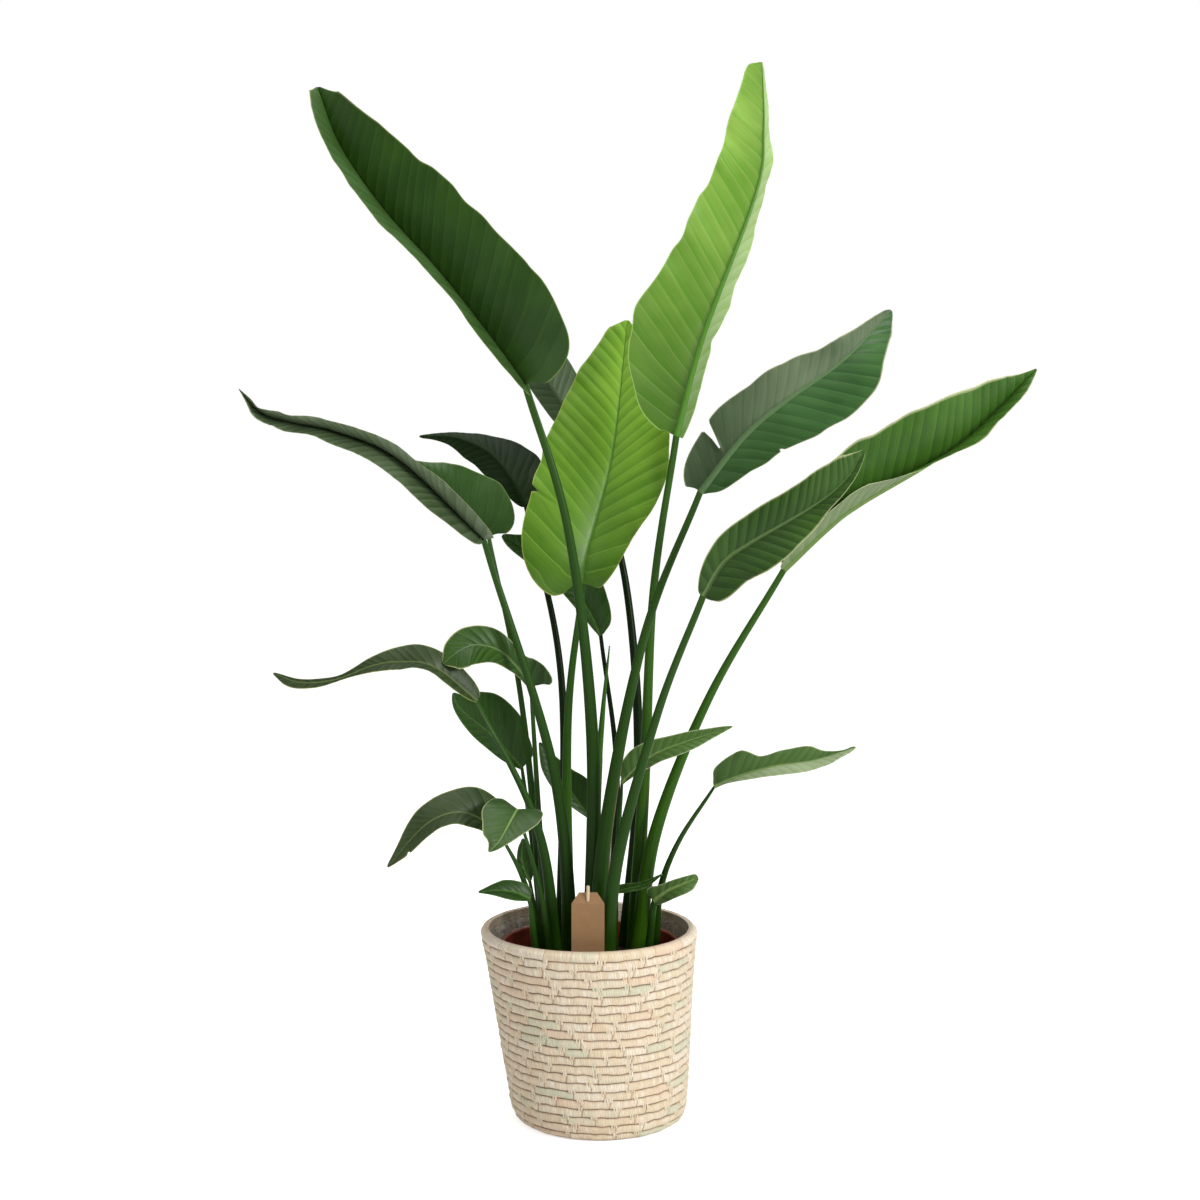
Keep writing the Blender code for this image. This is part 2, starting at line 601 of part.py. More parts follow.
def add_soil(finish):
    """The potting soil: it fills the pot up to just below its lip."""
    low = POT_FLOOR + POT_WALL + GAP
    clear = POT_WALL + 2 * GAP
    profile = [
        (POT_SHIFT, pot_radius(low) - clear, low),
        (POT_SHIFT, pot_radius(SOIL_TOP - SOIL_EDGE) - clear, SOIL_TOP - SOIL_EDGE),
        (POT_SHIFT, pot_radius(SOIL_TOP) - clear - SOIL_EDGE, SOIL_TOP),
    ]
    return add_turned("soil", profile, POT_SIDES, finish)


def add_tag(finish):
    """The plant's label: a card with its top folded back over a stake, left blank."""
    half, top = TAG_WIDTH / 2, TAG_FLAP_TOP_WIDTH / 2
    back = TAG_FRONT + TAG_THICKNESS
    bottom = SOIL_TOP + GAP
    rise, run = TAG_FLAP * cos(TAG_FLAP_LEAN), TAG_FLAP * sin(TAG_FLAP_LEAN)
    drop = TAG_THICKNESS * tan(TAG_FLAP_LEAN / 2)
    side_thick = TAG_THICKNESS * sin(TAG_FLAP_LEAN)
    down_thick = TAG_THICKNESS * cos(TAG_FLAP_LEAN)
    outline = (
        (TAG_FRONT, bottom, half),
        (TAG_FRONT, TAG_CREASE, half),
        (TAG_FRONT + run, TAG_CREASE + rise, top),
        (TAG_FRONT + run + down_thick, TAG_CREASE + rise - side_thick, top),
        (back, TAG_CREASE - drop, half),
        (back, bottom, half),
    )
    points = [(TAG_CENTRE + sign * width, y, z) for sign in (-1, 1) for y, z, width in outline]
    faces = [(0, 1, 4, 5), (1, 2, 3, 4), (11, 10, 7, 6), (10, 9, 8, 7)]
    faces += [(i, i + 6, (i + 1) % 6 + 6, (i + 1) % 6) for i in range(6)]
    card = add_object("tag_card", points, faces, finish, smooth=False)
    points, faces = rod(STAKE_HOLE_RADIUS, TAG_CREASE - HOLE_BELOW, TAG_CREASE + TAG_FLAP)
    cutter = add_object("tag_hole", points, faces, finish)
    cutter.hide_render = True
    cutter.display_type = "WIRE"
    hole = card.modifiers.new("stake hole", "BOOLEAN")
    hole.operation = "DIFFERENCE"
    hole.object = cutter
    return card


def rod(radius, low, high):
    """Points and faces of an upright rod on the stake's line."""
    rings = [level_ring((TAG_CENTRE, STAKE_LINE, z), radius, STAKE_SIDES) for z in (low, high)]
    return stacked_rings(rings)


def add_stake(finish):
    """The round wooden stake that carries the card."""
    rings = (
        (SOIL_TOP + GAP, STAKE_RADIUS),
        (STAKE_TOP - STAKE_END, STAKE_RADIUS),
        (STAKE_TOP, STAKE_RADIUS - STAKE_END / 2),
    )
    points, faces = stacked_rings(
        [level_ring((TAG_CENTRE, STAKE_LINE, z), radius, STAKE_SIDES) for z, radius in rings]
    )
    return add_object("tag_stake", points, faces, finish)


def main():
    for old in list(bpy.data.objects):
        bpy.data.objects.remove(old, do_unlink=True)
    palm = material("palm leaf", (0.62, 0.52, 0.36), 0.75)
    film = material("clear film", (0.75, 0.77, 0.74), 0.2)
    plastic = material("terracotta plastic", (0.27, 0.06, 0.03), 0.45)
    earth = material("potting soil", (0.02, 0.014, 0.01), 0.95)
    kraft = material("kraft card", (0.55, 0.38, 0.24), 0.8)
    wood = material("birch", (0.75, 0.6, 0.4), 0.6)
    blade_green = material("leaf green", (0.05, 0.14, 0.03), 0.4)
    stalk_green = material("stalk green", (0.04, 0.1, 0.02), 0.45)

    add_basket(palm)
    add_liner(film)
    add_pot(plastic)
    add_soil(earth)
    add_tag(kraft)
    add_stake(wood)
    for leaf in LEAVES:
        add_stalk(leaf, stalk_green)
        add_blade(leaf, blade_green)
    add_spear(stalk_green)


main()
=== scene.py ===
"""The looks of a potted bird of paradise: leaves, stalks, pot, soil, plant label and coiled palm-leaf basket.

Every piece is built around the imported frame, in metres, with +Z up and -Y towards the plant's front.
"""

from __future__ import annotations

import logging
import math
from dataclasses import dataclass, replace
from enum import Enum
from functools import partial
from typing import Any, Callable

import bmesh
import bpy
import numpy as np
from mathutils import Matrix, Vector

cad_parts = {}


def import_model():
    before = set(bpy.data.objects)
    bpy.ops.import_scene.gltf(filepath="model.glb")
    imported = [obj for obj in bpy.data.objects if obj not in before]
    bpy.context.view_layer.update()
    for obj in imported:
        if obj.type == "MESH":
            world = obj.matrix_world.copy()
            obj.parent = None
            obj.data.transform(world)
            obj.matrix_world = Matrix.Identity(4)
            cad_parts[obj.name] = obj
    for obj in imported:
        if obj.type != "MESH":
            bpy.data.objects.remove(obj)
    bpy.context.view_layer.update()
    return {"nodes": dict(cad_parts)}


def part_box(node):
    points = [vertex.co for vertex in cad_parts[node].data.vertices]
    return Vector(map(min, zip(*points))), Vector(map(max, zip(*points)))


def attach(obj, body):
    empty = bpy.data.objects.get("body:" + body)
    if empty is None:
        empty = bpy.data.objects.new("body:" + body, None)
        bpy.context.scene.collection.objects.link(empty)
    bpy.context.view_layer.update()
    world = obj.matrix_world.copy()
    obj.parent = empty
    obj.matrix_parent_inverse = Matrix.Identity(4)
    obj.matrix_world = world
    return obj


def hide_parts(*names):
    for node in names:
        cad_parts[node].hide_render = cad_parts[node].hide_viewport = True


Array = np.ndarray
LOG = logging.getLogger("plant")
MM = 0.001
FULL_TURN = 2 * np.pi
SEED = 20
SHARP = math.radians(55)  # edges that turn by more than this stay sharp
# A Mix node of this kind mixes the colours at its inputs 6 and 7, by the share at its input 0.
COLOURS = {"output": 2, "data_type": "RGBA"}


class Half(Enum):
    """The two halves of a blade, as seen on its upper side with the tip away."""

    LEFT = -1
    RIGHT = 1


# ---- small tools ----


def linear(colour: str) -> tuple[float, float, float, float]:
    """Turns an sRGB hex colour into a linear one.

    Args:
        colour: Six hex digits with a leading #.

    Returns:
        Red, green, blue and 1 for alpha.
    """
    parts = [int(colour[i : i + 2], 16) / 255 for i in (1, 3, 5)]
    red, green, blue = [c / 12.92 if c <= 0.04045 else ((c + 0.055) / 1.055) ** 2.4 for c in parts]
    return red, green, blue, 1.0


def add_node(
    tree: bpy.types.NodeTree, kind: str, links: dict[Any, Any] | None = None, output: Any = 0, **settings: Any
) -> Any:
    """Adds a node to a tree, with its settings and links.

    Args:
        tree: The node tree.
        kind: The node's type without "ShaderNode", such as "TexNoise".
        links: For each input, by name or number, an output socket, a hex colour or a plain value.
        output: Name or number of the output that is wanted.
        settings: The node's own properties.

    Returns:
        The output socket, or None for a node that has none.
    """
    node = tree.nodes.new("ShaderNode" + kind)
    for name, value in settings.items():
        setattr(node, name, value)
    for name, value in (links or {}).items():
        if isinstance(value, bpy.types.NodeSocket):
            tree.links.new(value, node.inputs[name])
        else:
            node.inputs[name].default_value = linear(value) if isinstance(value, str) else value
    return node.outputs[output] if node.outputs else None


def new_material(name: str, roughness: float, **constants: Any) -> tuple[bpy.types.Material, Any, Callable]:
    """Makes a material with only a Principled shader in it.

    Args:
        name: The material's name.
        roughness: The shader's roughness, for as long as nothing is linked to it.
        constants: Other values on the shader's own sockets, by name with _ for a space.

    Returns:
        The material, its shader and add_node for its tree.
    """
    material = bpy.data.materials.new(name)
    material.use_nodes = True
    shader = material.node_tree.nodes["Principled BSDF"]
    shader.inputs["Roughness"].default_value = roughness
    for key, value in constants.items():
        shader.inputs[key.replace("_", " ")].default_value = value
    return material, shader, partial(add_node, material.node_tree)


def connect(shader: Any, **sockets: Any) -> None:
    """Links sockets to a shader's inputs, each named with _ for a space."""
    for name, socket in sockets.items():
        shader.id_data.links.new(socket, shader.inputs[name.replace("_", " ")])


def unit(vectors: Array) -> Array:
    """Scales vectors to length one."""
    vectors = np.asarray(vectors, float)
    return vectors / np.maximum(np.linalg.norm(vectors, axis=-1, keepdims=True), 1e-12)


def cubic(before: Array, start: Array, end: Array, after: Array, t: Array) -> Array:
    """Returns a Catmull-Rom stretch from start to end at t from 0 to 1."""
    return 0.5 * (
        2 * start
        + (end - before) * t
        + (2 * before - 5 * start + 4 * end - after) * t**2
        + (3 * start - before - 3 * end + after) * t**3
    )


def along(points: Any, shares: Any) -> Array:
    """Finds places on a smooth curve.

    Args:
        points: The points that the curve passes.
        shares: Shares of the curve's length, from 0 to 1.

    Returns:
        One point for each share.
    """
    points = np.asarray(points, float)
    ends = np.vstack([2 * points[0] - points[1], points, 2 * points[-1] - points[-2]])
    t = np.linspace(0, 1, 24, endpoint=False)[:, None]
    fine = [cubic(*ends[i : i + 4], t) for i in range(len(points) - 1)]
    fine = np.vstack([*fine, points[-1:]])
    length = np.concatenate([[0], np.cumsum(np.linalg.norm(np.diff(fine, axis=0), axis=1))])
    wanted = np.asarray(shares, float) * length[-1]
    return np.stack([np.interp(wanted, length, fine[:, k]) for k in range(3)], -1)


def length_of(points: Any) -> float:
    """Returns the length of the smooth curve through some points."""
    return float(np.linalg.norm(np.diff(along(points, np.linspace(0, 1, 100)), axis=0), axis=1).sum())


def heading(points: Any, shares: Array, step: float) -> Array:
    """Returns the direction of the smooth curve through some points, measured over a step each way."""
    return unit(along(points, np.clip(shares + step, 0, 1)) - along(points, np.clip(shares - step, 0, 1)))


def spread(values: Any, shares: Array) -> Array:
    """Returns a few evenly spaced values, read in between at the shares."""
    values = np.asarray(values, float)
    places = np.linspace(0, 1, len(values))
    if values.ndim == 1:
        return np.interp(shares, places, values)
    return np.stack([np.interp(shares, places, values[:, k]) for k in range(values.shape[1])], -1)


def smooth(values: Array, low: float, high: float) -> Array:
    """Returns a soft step from 0 at low to 1 at high."""
    t = np.clip((np.asarray(values, float) - low) / (high - low), 0, 1)
    return t * t * (3 - 2 * t)


def bell(values: Array, width: float | Array) -> Array:
    """Returns a soft bump of height 1 where the values are 0, as wide as given."""
    return np.exp(-((values / width) ** 2))


def angle_between(first: Array, second: Array | float) -> Array:
    """Returns the signed angle from the second to the first, the shorter way round."""
    return (first - second + np.pi) % FULL_TURN - np.pi


def drift(places: Array, spacing: float, *seed: int) -> Array:
    """Makes smooth random values along a line.

    Args:
        places: Where they are wanted, 0 or more.
        spacing: The distance between independent values.
        seed: Numbers that choose the line.

    Returns:
        Values between -1 and 1.
    """
    at = np.asarray(places, float) / spacing
    knots = np.random.default_rng([SEED, *seed]).uniform(-1, 1, int(at.max()) + 3)
    first = at.astype(int)
    t = smooth(at - first, 0, 1)
    return knots[first] * (1 - t) + knots[first + 1] * t


def around(sides: int) -> Array:
    """Returns evenly spaced angles once round, from 0."""
    return np.arange(sides) * FULL_TURN / sides


def grid_faces(rows: int, columns: int, wrap: bool = False, start: int = 0) -> Array:
    """Lists the faces between neighbouring points of a grid.

    Args:
        rows: Number of rows.
        columns: Number of columns.
        wrap: True if the last column meets the first.
        start: Number of the grid's first point.

    Returns:
        Four point numbers for each face.
    """
    across = np.arange(columns if wrap else columns - 1)
    row = np.arange(rows - 1)[:, None] * columns + start
    after = (across + 1) % columns
    faces = [row + across, row + after, row + columns + after, row + columns + across]
    return np.stack(faces, -1).reshape(-1, 4)


def rim_faces(rows: int, columns: int) -> Array:
    """Lists the faces that close the rim between two equal grids, stored one after the other.

    Args:
        rows: Number of rows in each.
        columns: Number of columns in each.

    Returns:
        Four point numbers for each face.
    """
    number = np.arange(rows * columns).reshape(rows, columns)
    edge = np.concatenate([number[0], number[1:, -1], number[-1, -2::-1], number[-2:0:-1, 0]])
    after, below = np.roll(edge, -1), rows * columns
    return np.stack([edge, after, after + below, edge + below], -1)


def tube_faces(rows: int, sides: int, start: int = 0) -> list[list[int]]:
    """Lists the faces of a tube with both its ends closed.

    Args:
        rows: Number of rings.
        sides: Number of points in each ring.
        start: Number of the tube's first point.

    Returns:
        The point numbers of each face.
    """
    faces = grid_faces(rows, sides, wrap=True, start=start).tolist()
    faces.append([start + i for i in range(sides)][::-1])
    faces.append([start + (rows - 1) * sides + i for i in range(sides)])
    return faces


def add_piece(
    name: str, points: Array, faces: list, layers: dict[str, Array], material: Any
) -> bpy.types.Object:
    """Makes a smooth object that rides with the plant.

    Args:
        name: The piece's name.
        points: Its points, in metres.
        faces: Its faces, as lists of point numbers.
        layers: Values for each point that its material reads, by name.
        material: Its material.

    Returns:
        The object.
    """
    mesh = bpy.data.meshes.new(name)
    mesh.from_pydata(np.asarray(points).reshape(-1, 3).tolist(), [], [list(map(int, face)) for face in faces])
    shape = bmesh.new()
    shape.from_mesh(mesh)
    bmesh.ops.recalc_face_normals(shape, faces=shape.faces)
    shape.to_mesh(mesh)
    shape.free()
    for layer, values in layers.items():
        stored = mesh.attributes.new(layer, "FLOAT", "POINT")
        stored.data.foreach_set("value", np.asarray(values, np.float32).ravel())
    mesh.materials.append(material)
    mesh.shade_smooth()
    mesh.set_sharp_from_angle(angle=SHARP)
    piece = bpy.data.objects.new(name, mesh)
    bpy.context.scene.collection.objects.link(piece)
    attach(piece, "root")
    return piece


def turned(profile: Array, sides: int) -> Array:
    """Turns a profile round an upright axis.

    Args:
        profile: Rows of shift of the axis along X, radius and height.
        sides: Number of points round.

    Returns:
        A ring of points for each row.
    """
    turn = around(sides)
    shift, radius, height = (np.asarray(profile, float)[:, k][:, None] for k in range(3))
    return np.stack([shift + radius * np.cos(turn), radius * np.sin(turn), height + 0 * turn], -1)


def rings_of(node: bpy.types.Object) -> Array:
    """Reads a turned solid's rings off its mesh.

    Args:
        node: The solid.

    Returns:
        A row for each height: height, shift of the axis, and the outer ring's radius.
    """
    points = np.empty(len(node.data.vertices) * 3)
    node.data.vertices.foreach_get("co", points)
    placed = np.array(node.matrix_world)
    points = points.reshape(-1, 3) @ placed[:3, :3].T + placed[:3, 3]
    heights = np.unique(np.round(points[:, 2], 4))
    rows = []
    for height in heights:
        ring = points[np.abs(points[:, 2] - height) < 1e-4, 0]
        rows.append((height, (ring.max() + ring.min()) / 2, (ring.max() - ring.min()) / 2))
    outer = [rows[0]]
    for row, above in zip(rows[1:], rows[2:]):
        # A height that only the inner wall has a ring at lies well inside the line from its neighbours.
        if row[2] > np.interp(row[0], (outer[-1][0], above[0]), (outer[-1][2], above[2])) - 3 * MM:
            outer.append(row)
    return np.array([*outer, rows[-1]])


# ---- leaves ----

GAP = 0.0003  # the stalks start this far above the soil
BLADE_START = 0.003  # half width of a blade at its stalk
SLANT_IN = 0.02  # the veins reach their full slant where a half is this much wider
VEIN_SLANT = (-40, 12, 20, 45)  # degrees that the side veins point forward
VEIN_PLACES = (0, 0.16, 0.5, 1)
ROW_STEP = 2.0 * MM  # between the rows of a blade's points
VEIN_SLOPE = (-0.35, 0.2, 0.7, 0.85, 1.0)  # how far a vein runs forward for each step sideways
SLOPE_PLACES = (0, 0.06, 0.22, 0.5, 1)
VEIN_MM = 2.4  # how far apart the fine veins are drawn
VEIN_ORIGIN = 100  # added to a vein's place in mm, so that none is below 0
DOMING = 0.06  # how far each half arches up, as a share of its width
BLADE_THICK = 0.5 * MM
STALK_FLATNESS = 0.62  # depth of a stalk's foot, as a share of its width
STALK_SWELL = 1.6  # the higher, the lower on the stalk its sheath ends
RIB_GROOVE = 0.12  # depth of the channel over the rib, as a share of the rib's radius
# What the leaf material reads off each blade.
BLADE_LAYERS = ("share", "vein_mm", "pleat", "across", "margin", "rib", "under_side")


@dataclass(frozen=True)
class BladeFinish:
    """Living leaf of a bird of paradise: a wax-coated skin over parallel veins that show as pleats."""

    name: str
    upper: tuple[str, str]  # darker and lighter green of the upper side
    under: tuple[str, str]
    rib_upper: str
    rib_under: str
    margin: str
    vein: str  # the thin line between two pleats
    left_half_light_and_shade: tuple[str, str] | None = None  # the left half's greens with painted light and shade, where light falls on that half differently
    # The foot's colour is a painted shade that darkens the blade towards its stalk.
    foot: str = "#24401a"
    foot_shade_share: float = 0.25  # how much painted shade, in the foot's colour, the blade has at its stalk
    roughness: float = 0.4
    gloss: float = 0.0  # weight of the wax's clear coat
    shine: float = 0.28
    pleat_shade_and_vein_strength: float = 0.7  # how strong the painted shade across each pleat and the pale vein line are

    def material(self) -> bpy.types.Material:
        """Builds the leaf material: a painted shade across each pleat, a pale rib and margin, waxy gloss."""
        # Wax over skin cells gives soft, broad lights that follow the pleats.
        made, shader, add = new_material(
            self.name, self.roughness,
            Specular_IOR_Level=self.shine, Coat_Weight=self.gloss, Coat_Roughness=0.2,
        )
        layer = {name: add("Attribute", output="Fac", attribute_name=name) for name in BLADE_LAYERS}
        veins = self.fine_veins(add, layer)
        # A strong vein starts each pleat as a thin pale line.
        strong = add("Math", {0: layer["pleat"], 1: 0.5}, operation="PINGPONG")
        skin = self.skin(add, layer, veins)
        pale = add("MapRange", {0: strong, 1: 0.0, 2: 0.05, 3: 0.45, 4: 0.0})
        pale = add("Math", {0: pale, 1: self.pleat_shade_and_vein_strength}, operation="MULTIPLY")
        skin = add("Mix", {0: pale, 6: skin, 7: self.vein}, **COLOURS)
        rib = add("Mix", {0: layer["under_side"], 6: self.rib_upper, 7: self.rib_under}, **COLOURS)
        skin = add("Mix", {0: layer["rib"], 6: skin, 7: rib}, **COLOURS)
        skin = add("Mix", {0: layer["margin"], 6: skin, 7: self.margin}, **COLOURS)
        rough = add("MapRange", {0: veins, 3: self.roughness - 0.06, 4: self.roughness + 0.08})
        # The rib is duller than the blade beside it.
        dull = add("Math", {0: layer["rib"], 1: 0.7}, operation="MULTIPLY")
        rough = add("Math", {0: rough, 1: dull}, operation="MAXIMUM")
        rounded = add("Math", {0: strong}, operation="SQRT")
        height = add("Math", {0: veins, 1: 0.12, 2: rounded}, operation="MULTIPLY_ADD")
        bump = add("Bump", {"Height": height, "Strength": 0.45, "Distance": 1.2 * MM})
        connect(shader, Base_Color=skin, Roughness=rough, Normal=bump)
        return made

    def fine_veins(self, add: Callable, layer: dict[str, Any]) -> Any:
        """Draws the fine veins that run from the rib to the margin.

        Args:
            add: Adds a node to the material.
            layer: The values stored on the blade.

        Returns:
            The socket of their strength.
        """
        # Real veins are about 1 mm apart, too fine to show: they are drawn 2.4 mm apart.
        place = add("Math", {0: layer["vein_mm"], 1: 1 / VEIN_MM}, operation="MULTIPLY")
        lines = add("CombineXYZ", {0: place, 1: layer["across"]})
        return add("TexNoise", {"Vector": lines, "Scale": 1.0, "Detail": 1.0})

    def skin(self, add: Callable, layer: dict[str, Any], veins: Any) -> Any:
        """Mixes the greens of both sides and both halves, with painted light and shade on the halves and the
        pleats, and painted shade darker towards the stalk.

        Args:
            add: Adds a node to the material.
            layer: The values stored on the blade.
            veins: The fine veins' socket.

        Returns:
            The colour's socket.
        """
        place = add("TexCoord", output="Object")
        cloud = add("TexNoise", {"Vector": place, "Scale": 14.0, "Detail": 2.0})
        # Painted shade: each pleat is darkest beside one strong vein and grows lighter towards the next.
        painted_pleat_shade = add("Math", {0: layer["pleat"]}, operation="FRACT")
        painted_pleat_shade = add("Math", {0: painted_pleat_shade, 1: self.pleat_shade_and_vein_strength}, operation="MULTIPLY")
        fine = add("MapRange", {0: veins, 1: 0.3, 2: 0.7, 3: -0.12, 4: 0.16})
        soft = add("MapRange", {0: cloud, 1: 0.3, 2: 0.7, 3: -0.25, 4: 0.4})
        share = add("Math", {0: painted_pleat_shade, 1: fine}, operation="ADD")
        share = add("Math", {0: share, 1: soft}, operation="ADD", use_clamp=True)
        upper = add("Mix", {0: share, 6: self.upper[0], 7: self.upper[1]}, **COLOURS)
        under = add("Mix", {0: share, 6: self.under[0], 7: self.under[1]}, **COLOURS)
        skin = add("Mix", {0: layer["under_side"], 6: upper, 7: under}, **COLOURS)
        # Painted light and shade: the left half gets greens of its own, for the light that falls on it
        # differently.
        if self.left_half_light_and_shade:
            left = add("Mix", {0: share, 6: self.left_half_light_and_shade[0], 7: self.left_half_light_and_shade[1]}, **COLOURS)
            on_left = add("Math", {0: layer["across"], 1: 0.0}, operation="LESS_THAN")
            skin = add("Mix", {0: on_left, 6: skin, 7: left}, **COLOURS)
        # Painted shade: the blade darkens towards its stalk.
        foot = add("MapRange", {0: layer["share"], 1: 0.0, 2: 0.6, 3: self.foot_shade_share, 4: 0.0})
        return add("Mix", {0: foot, 6: skin, 7: self.foot}, **COLOURS)


@dataclass(frozen=True)
class StalkFinish:
    """Living leaf stalk: smooth, waxy and faintly lined, paler and yellower at its sheath's edge."""

    name: str
    # The foot, middle and neck colours hold painted shade as well as the stalk's own green.
    foot: str
    middle: str
    neck: str
    seam: str
    line: str = "#16240c"

    def material(self) -> bpy.types.Material:
        """Builds the stalk material: a fade up the stalk that carries painted shade, fine lengthwise lines
        and a pale sheath edge.
        """
        # Smooth wax gives one long, narrow light down each stalk, broken a little by the lines.
        made, shader, add = new_material(self.name, 0.34, Specular_IOR_Level=0.14)
        names = ("share", "turn", "seam")
        share, turn, seam = (add("Attribute", output="Fac", attribute_name=name) for name in names)
        # Painted shade: the foot's, middle's and neck's colours carry the shade that falls on each stretch of
        # the stalk.
        low = add("MapRange", {0: share, 1: 0.02, 2: 0.5})
        high = add("MapRange", {0: share, 1: 0.4, 2: 0.95})
        skin = add("Mix", {0: low, 6: self.foot, 7: self.middle}, **COLOURS)
        skin = add("Mix", {0: high, 6: skin, 7: self.neck}, **COLOURS)
        # Real lines are about 1 mm apart, too fine to show: they are drawn about 3 mm apart.
        sideways = add("Math", {0: turn, 1: 4.0}, operation="MULTIPLY")
        upwards = add("Math", {0: share, 1: 5.0}, operation="MULTIPLY")
        lengthwise = add("CombineXYZ", {0: sideways, 1: upwards})
        lines = add("TexNoise", {"Vector": lengthwise, "Scale": 1.0, "Detail": 3.0})
        dark = add("MapRange", {0: lines, 1: 0.35, 2: 0.7, 3: 0.3, 4: 0.0})
        skin = add("Mix", {0: dark, 6: skin, 7: self.line}, **COLOURS)
        skin = add("Mix", {0: seam, 6: skin, 7: self.seam}, **COLOURS)
        bump = add("Bump", {"Height": lines, "Strength": 0.2, "Distance": 0.4 * MM})
        connect(shader, Base_Color=skin, Normal=bump)
        return made


# Each blade finish: its name, its upper and under side, its rib above and below, its margin and its veins.
DEEP_GREEN = BladeFinish(
    "deep_green_leaf", ("#24430e", "#365a16"), ("#4a6140", "#68805a"),
    "#223c10", "#7f9a58", "#7f9048", "#3f6024",
    left_half_light_and_shade=("#2f4c18", "#4b6c3c"), pleat_shade_and_vein_strength=0.38,
)
YOUNG_UNDER = BladeFinish(
    "young_leaf", ("#6c9436", "#94b866"), ("#6a9c30", "#98c154"),
    "#8db356", "#4f8420", "#b5d07c", "#a3cc68",
    left_half_light_and_shade=("#9cbd70", "#bcd896"), foot="#3c6a18", foot_shade_share=0.75, roughness=0.32, gloss=0.3,
)
YOUNG_UPPER = BladeFinish(
    "young_glossy_leaf", ("#5c8c1e", "#88b638"), ("#6b9440", "#8cb25c"),
    "#4c7822", "#9cbf62", "#a9b65a", "#9cc258",
    foot="#3a6414", foot_shade_share=0.75, roughness=0.34,
)
GREY_UNDER = BladeFinish(
    "grey_backed_leaf", ("#2d4a1e", "#46652f"), ("#546749", "#788869"),
    "#53703a", "#5c7a4e", "#b9bf92", "#5f7a50",
    foot="#2c4a20", foot_shade_share=0.5,
    left_half_light_and_shade=("#2a5020", "#48743a"),
)
MID_GREEN = BladeFinish(
    "mid_green_leaf", ("#345c1a", "#4f7c28"), ("#6b8452", "#8ea072"),
    "#6a8a44", "#7f9a58", "#d3d8a6", "#6f9450"
)
RIBBED_GREEN = BladeFinish(
    "pale_ribbed_leaf", ("#27450f", "#3f6420"), ("#4a6436", "#66804e"),
    "#66804c", "#6f8a58", "#b9c08a", "#587444"
)
SOFT_GREEN = BladeFinish(
    "soft_green_leaf", ("#345020", "#52703a"), ("#5a7444", "#7a9160"),
    "#86a35a", "#8ea86a", "#a9b67c", "#76925a",
    pleat_shade_and_vein_strength=0.35,
)
# Its halves differ by painted light and shade: the right half pale, the left half darker.
HALF_LIT_LEAF = BladeFinish(
    "half_lit_leaf", ("#869a6c", "#aebf94"), ("#5a7444", "#7a9160"),
    "#7f9a58", "#8ea86a", "#b9c596", "#8ba06e",
    left_half_light_and_shade=("#3f6128", "#5c7c40"),
    pleat_shade_and_vein_strength=0.35,
)
SUNLIT_GREEN = BladeFinish(
    "sunlit_leaf", ("#4e7030", "#78975a"), ("#5a7444", "#7a9160"),
    "#8ba860", "#8ea86a", "#b9c596", "#86a068",
    pleat_shade_and_vein_strength=0.35,
)
# Its halves differ by painted light and shade: the pale grey of the right half stands for sheen.
GREY_GREEN = BladeFinish(
    "grey_green_leaf", ("#70835f", "#9cab8e"), ("#4d5b40", "#717d66"),
    "#41582e", "#76875a", "#8f9a6e", "#6f8062",
    left_half_light_and_shade=("#435634", "#6a7c5c"),
)
OLIVE_GREEN = BladeFinish(
    "olive_green_leaf", ("#2a3d1a", "#495834"), ("#3f4d30", "#5f6b4c"),
    "#6a7a48", "#76875a", "#9fa660", "#5c6a44"
)
SMALL_GREEN = BladeFinish(
    "small_leaf", ("#294a12", "#3f6627"), ("#334c22", "#4f6a38"),
    "#527a30", "#5f8038", "#6f8a4c", "#4a6a34",
    pleat_shade_and_vein_strength=0.4,
)
# The leaves at the back get darkened copies of the greens: painted shade.
BACK_GREY = BladeFinish(
    "grey_shaded_leaf", ("#344c26", "#4e6640"), ("#324824", "#506840"),
    "#3c5030", "#4c6040", "#5f7050", "#4c6040"
)
BACK_SHADED = BladeFinish(
    "back_leaf_in_painted_shade", ("#16270c", "#243a16"), ("#14230b", "#223618"),
    "#1a2c10", "#1f3216", "#34462a", "#26381c", shine=0.1,
)
STALK_DARK = StalkFinish("stalk_dark", "#25470b", "#274b10", "#365a20", "#8a6a4a")
STALK_LIGHT = StalkFinish("stalk_light", "#3b660f", "#396712", "#3a6420", "#a0705a")
# Painted shade: the stalks at the back, darkest towards the blade.
STALK_SHADED = StalkFinish("stalk_in_painted_shade", "#21400e", "#14280c", "#14240d", "#4f5b2e")


@dataclass(frozen=True)
class Tear:
    """A slit or nick in a blade's margin."""

    half: Half
    share: float  # of the rib's length
    depth: float  # share of the half's width
    width: float = 0.012  # share of the rib's length


@dataclass(frozen=True)
class LeafPlan:
    """One leaf. Points are in metres, lifts in degrees and the other sizes in millimetres."""

    name: str
    foot: tuple[float, float]
    bends: tuple[tuple[float, float, float], ...]
    rib: tuple[tuple[float, float, float], ...]
    face: tuple[tuple[float, float, float], ...]
    left_lift: tuple[float, ...]
    right_lift: tuple[float, ...]
    left: tuple[float, ...]
    right: tuple[float, ...]
    sheath: float
    neck: float
    finish: BladeFinish = SMALL_GREEN
    stalk_finish: StalkFinish = STALK_DARK
    pleat: float = 0.35  # height of the pleats
    ripple: float = 2.0  # how far the margin waves
    spacing: float = 12.0  # of the strong veins, along the rib
    margin: float = 1.5  # width of the pale margin
    tears: tuple[Tear, ...] = ()
    seam: float = 200.0  # where the sheath's free edge runs, in degrees round the stalk


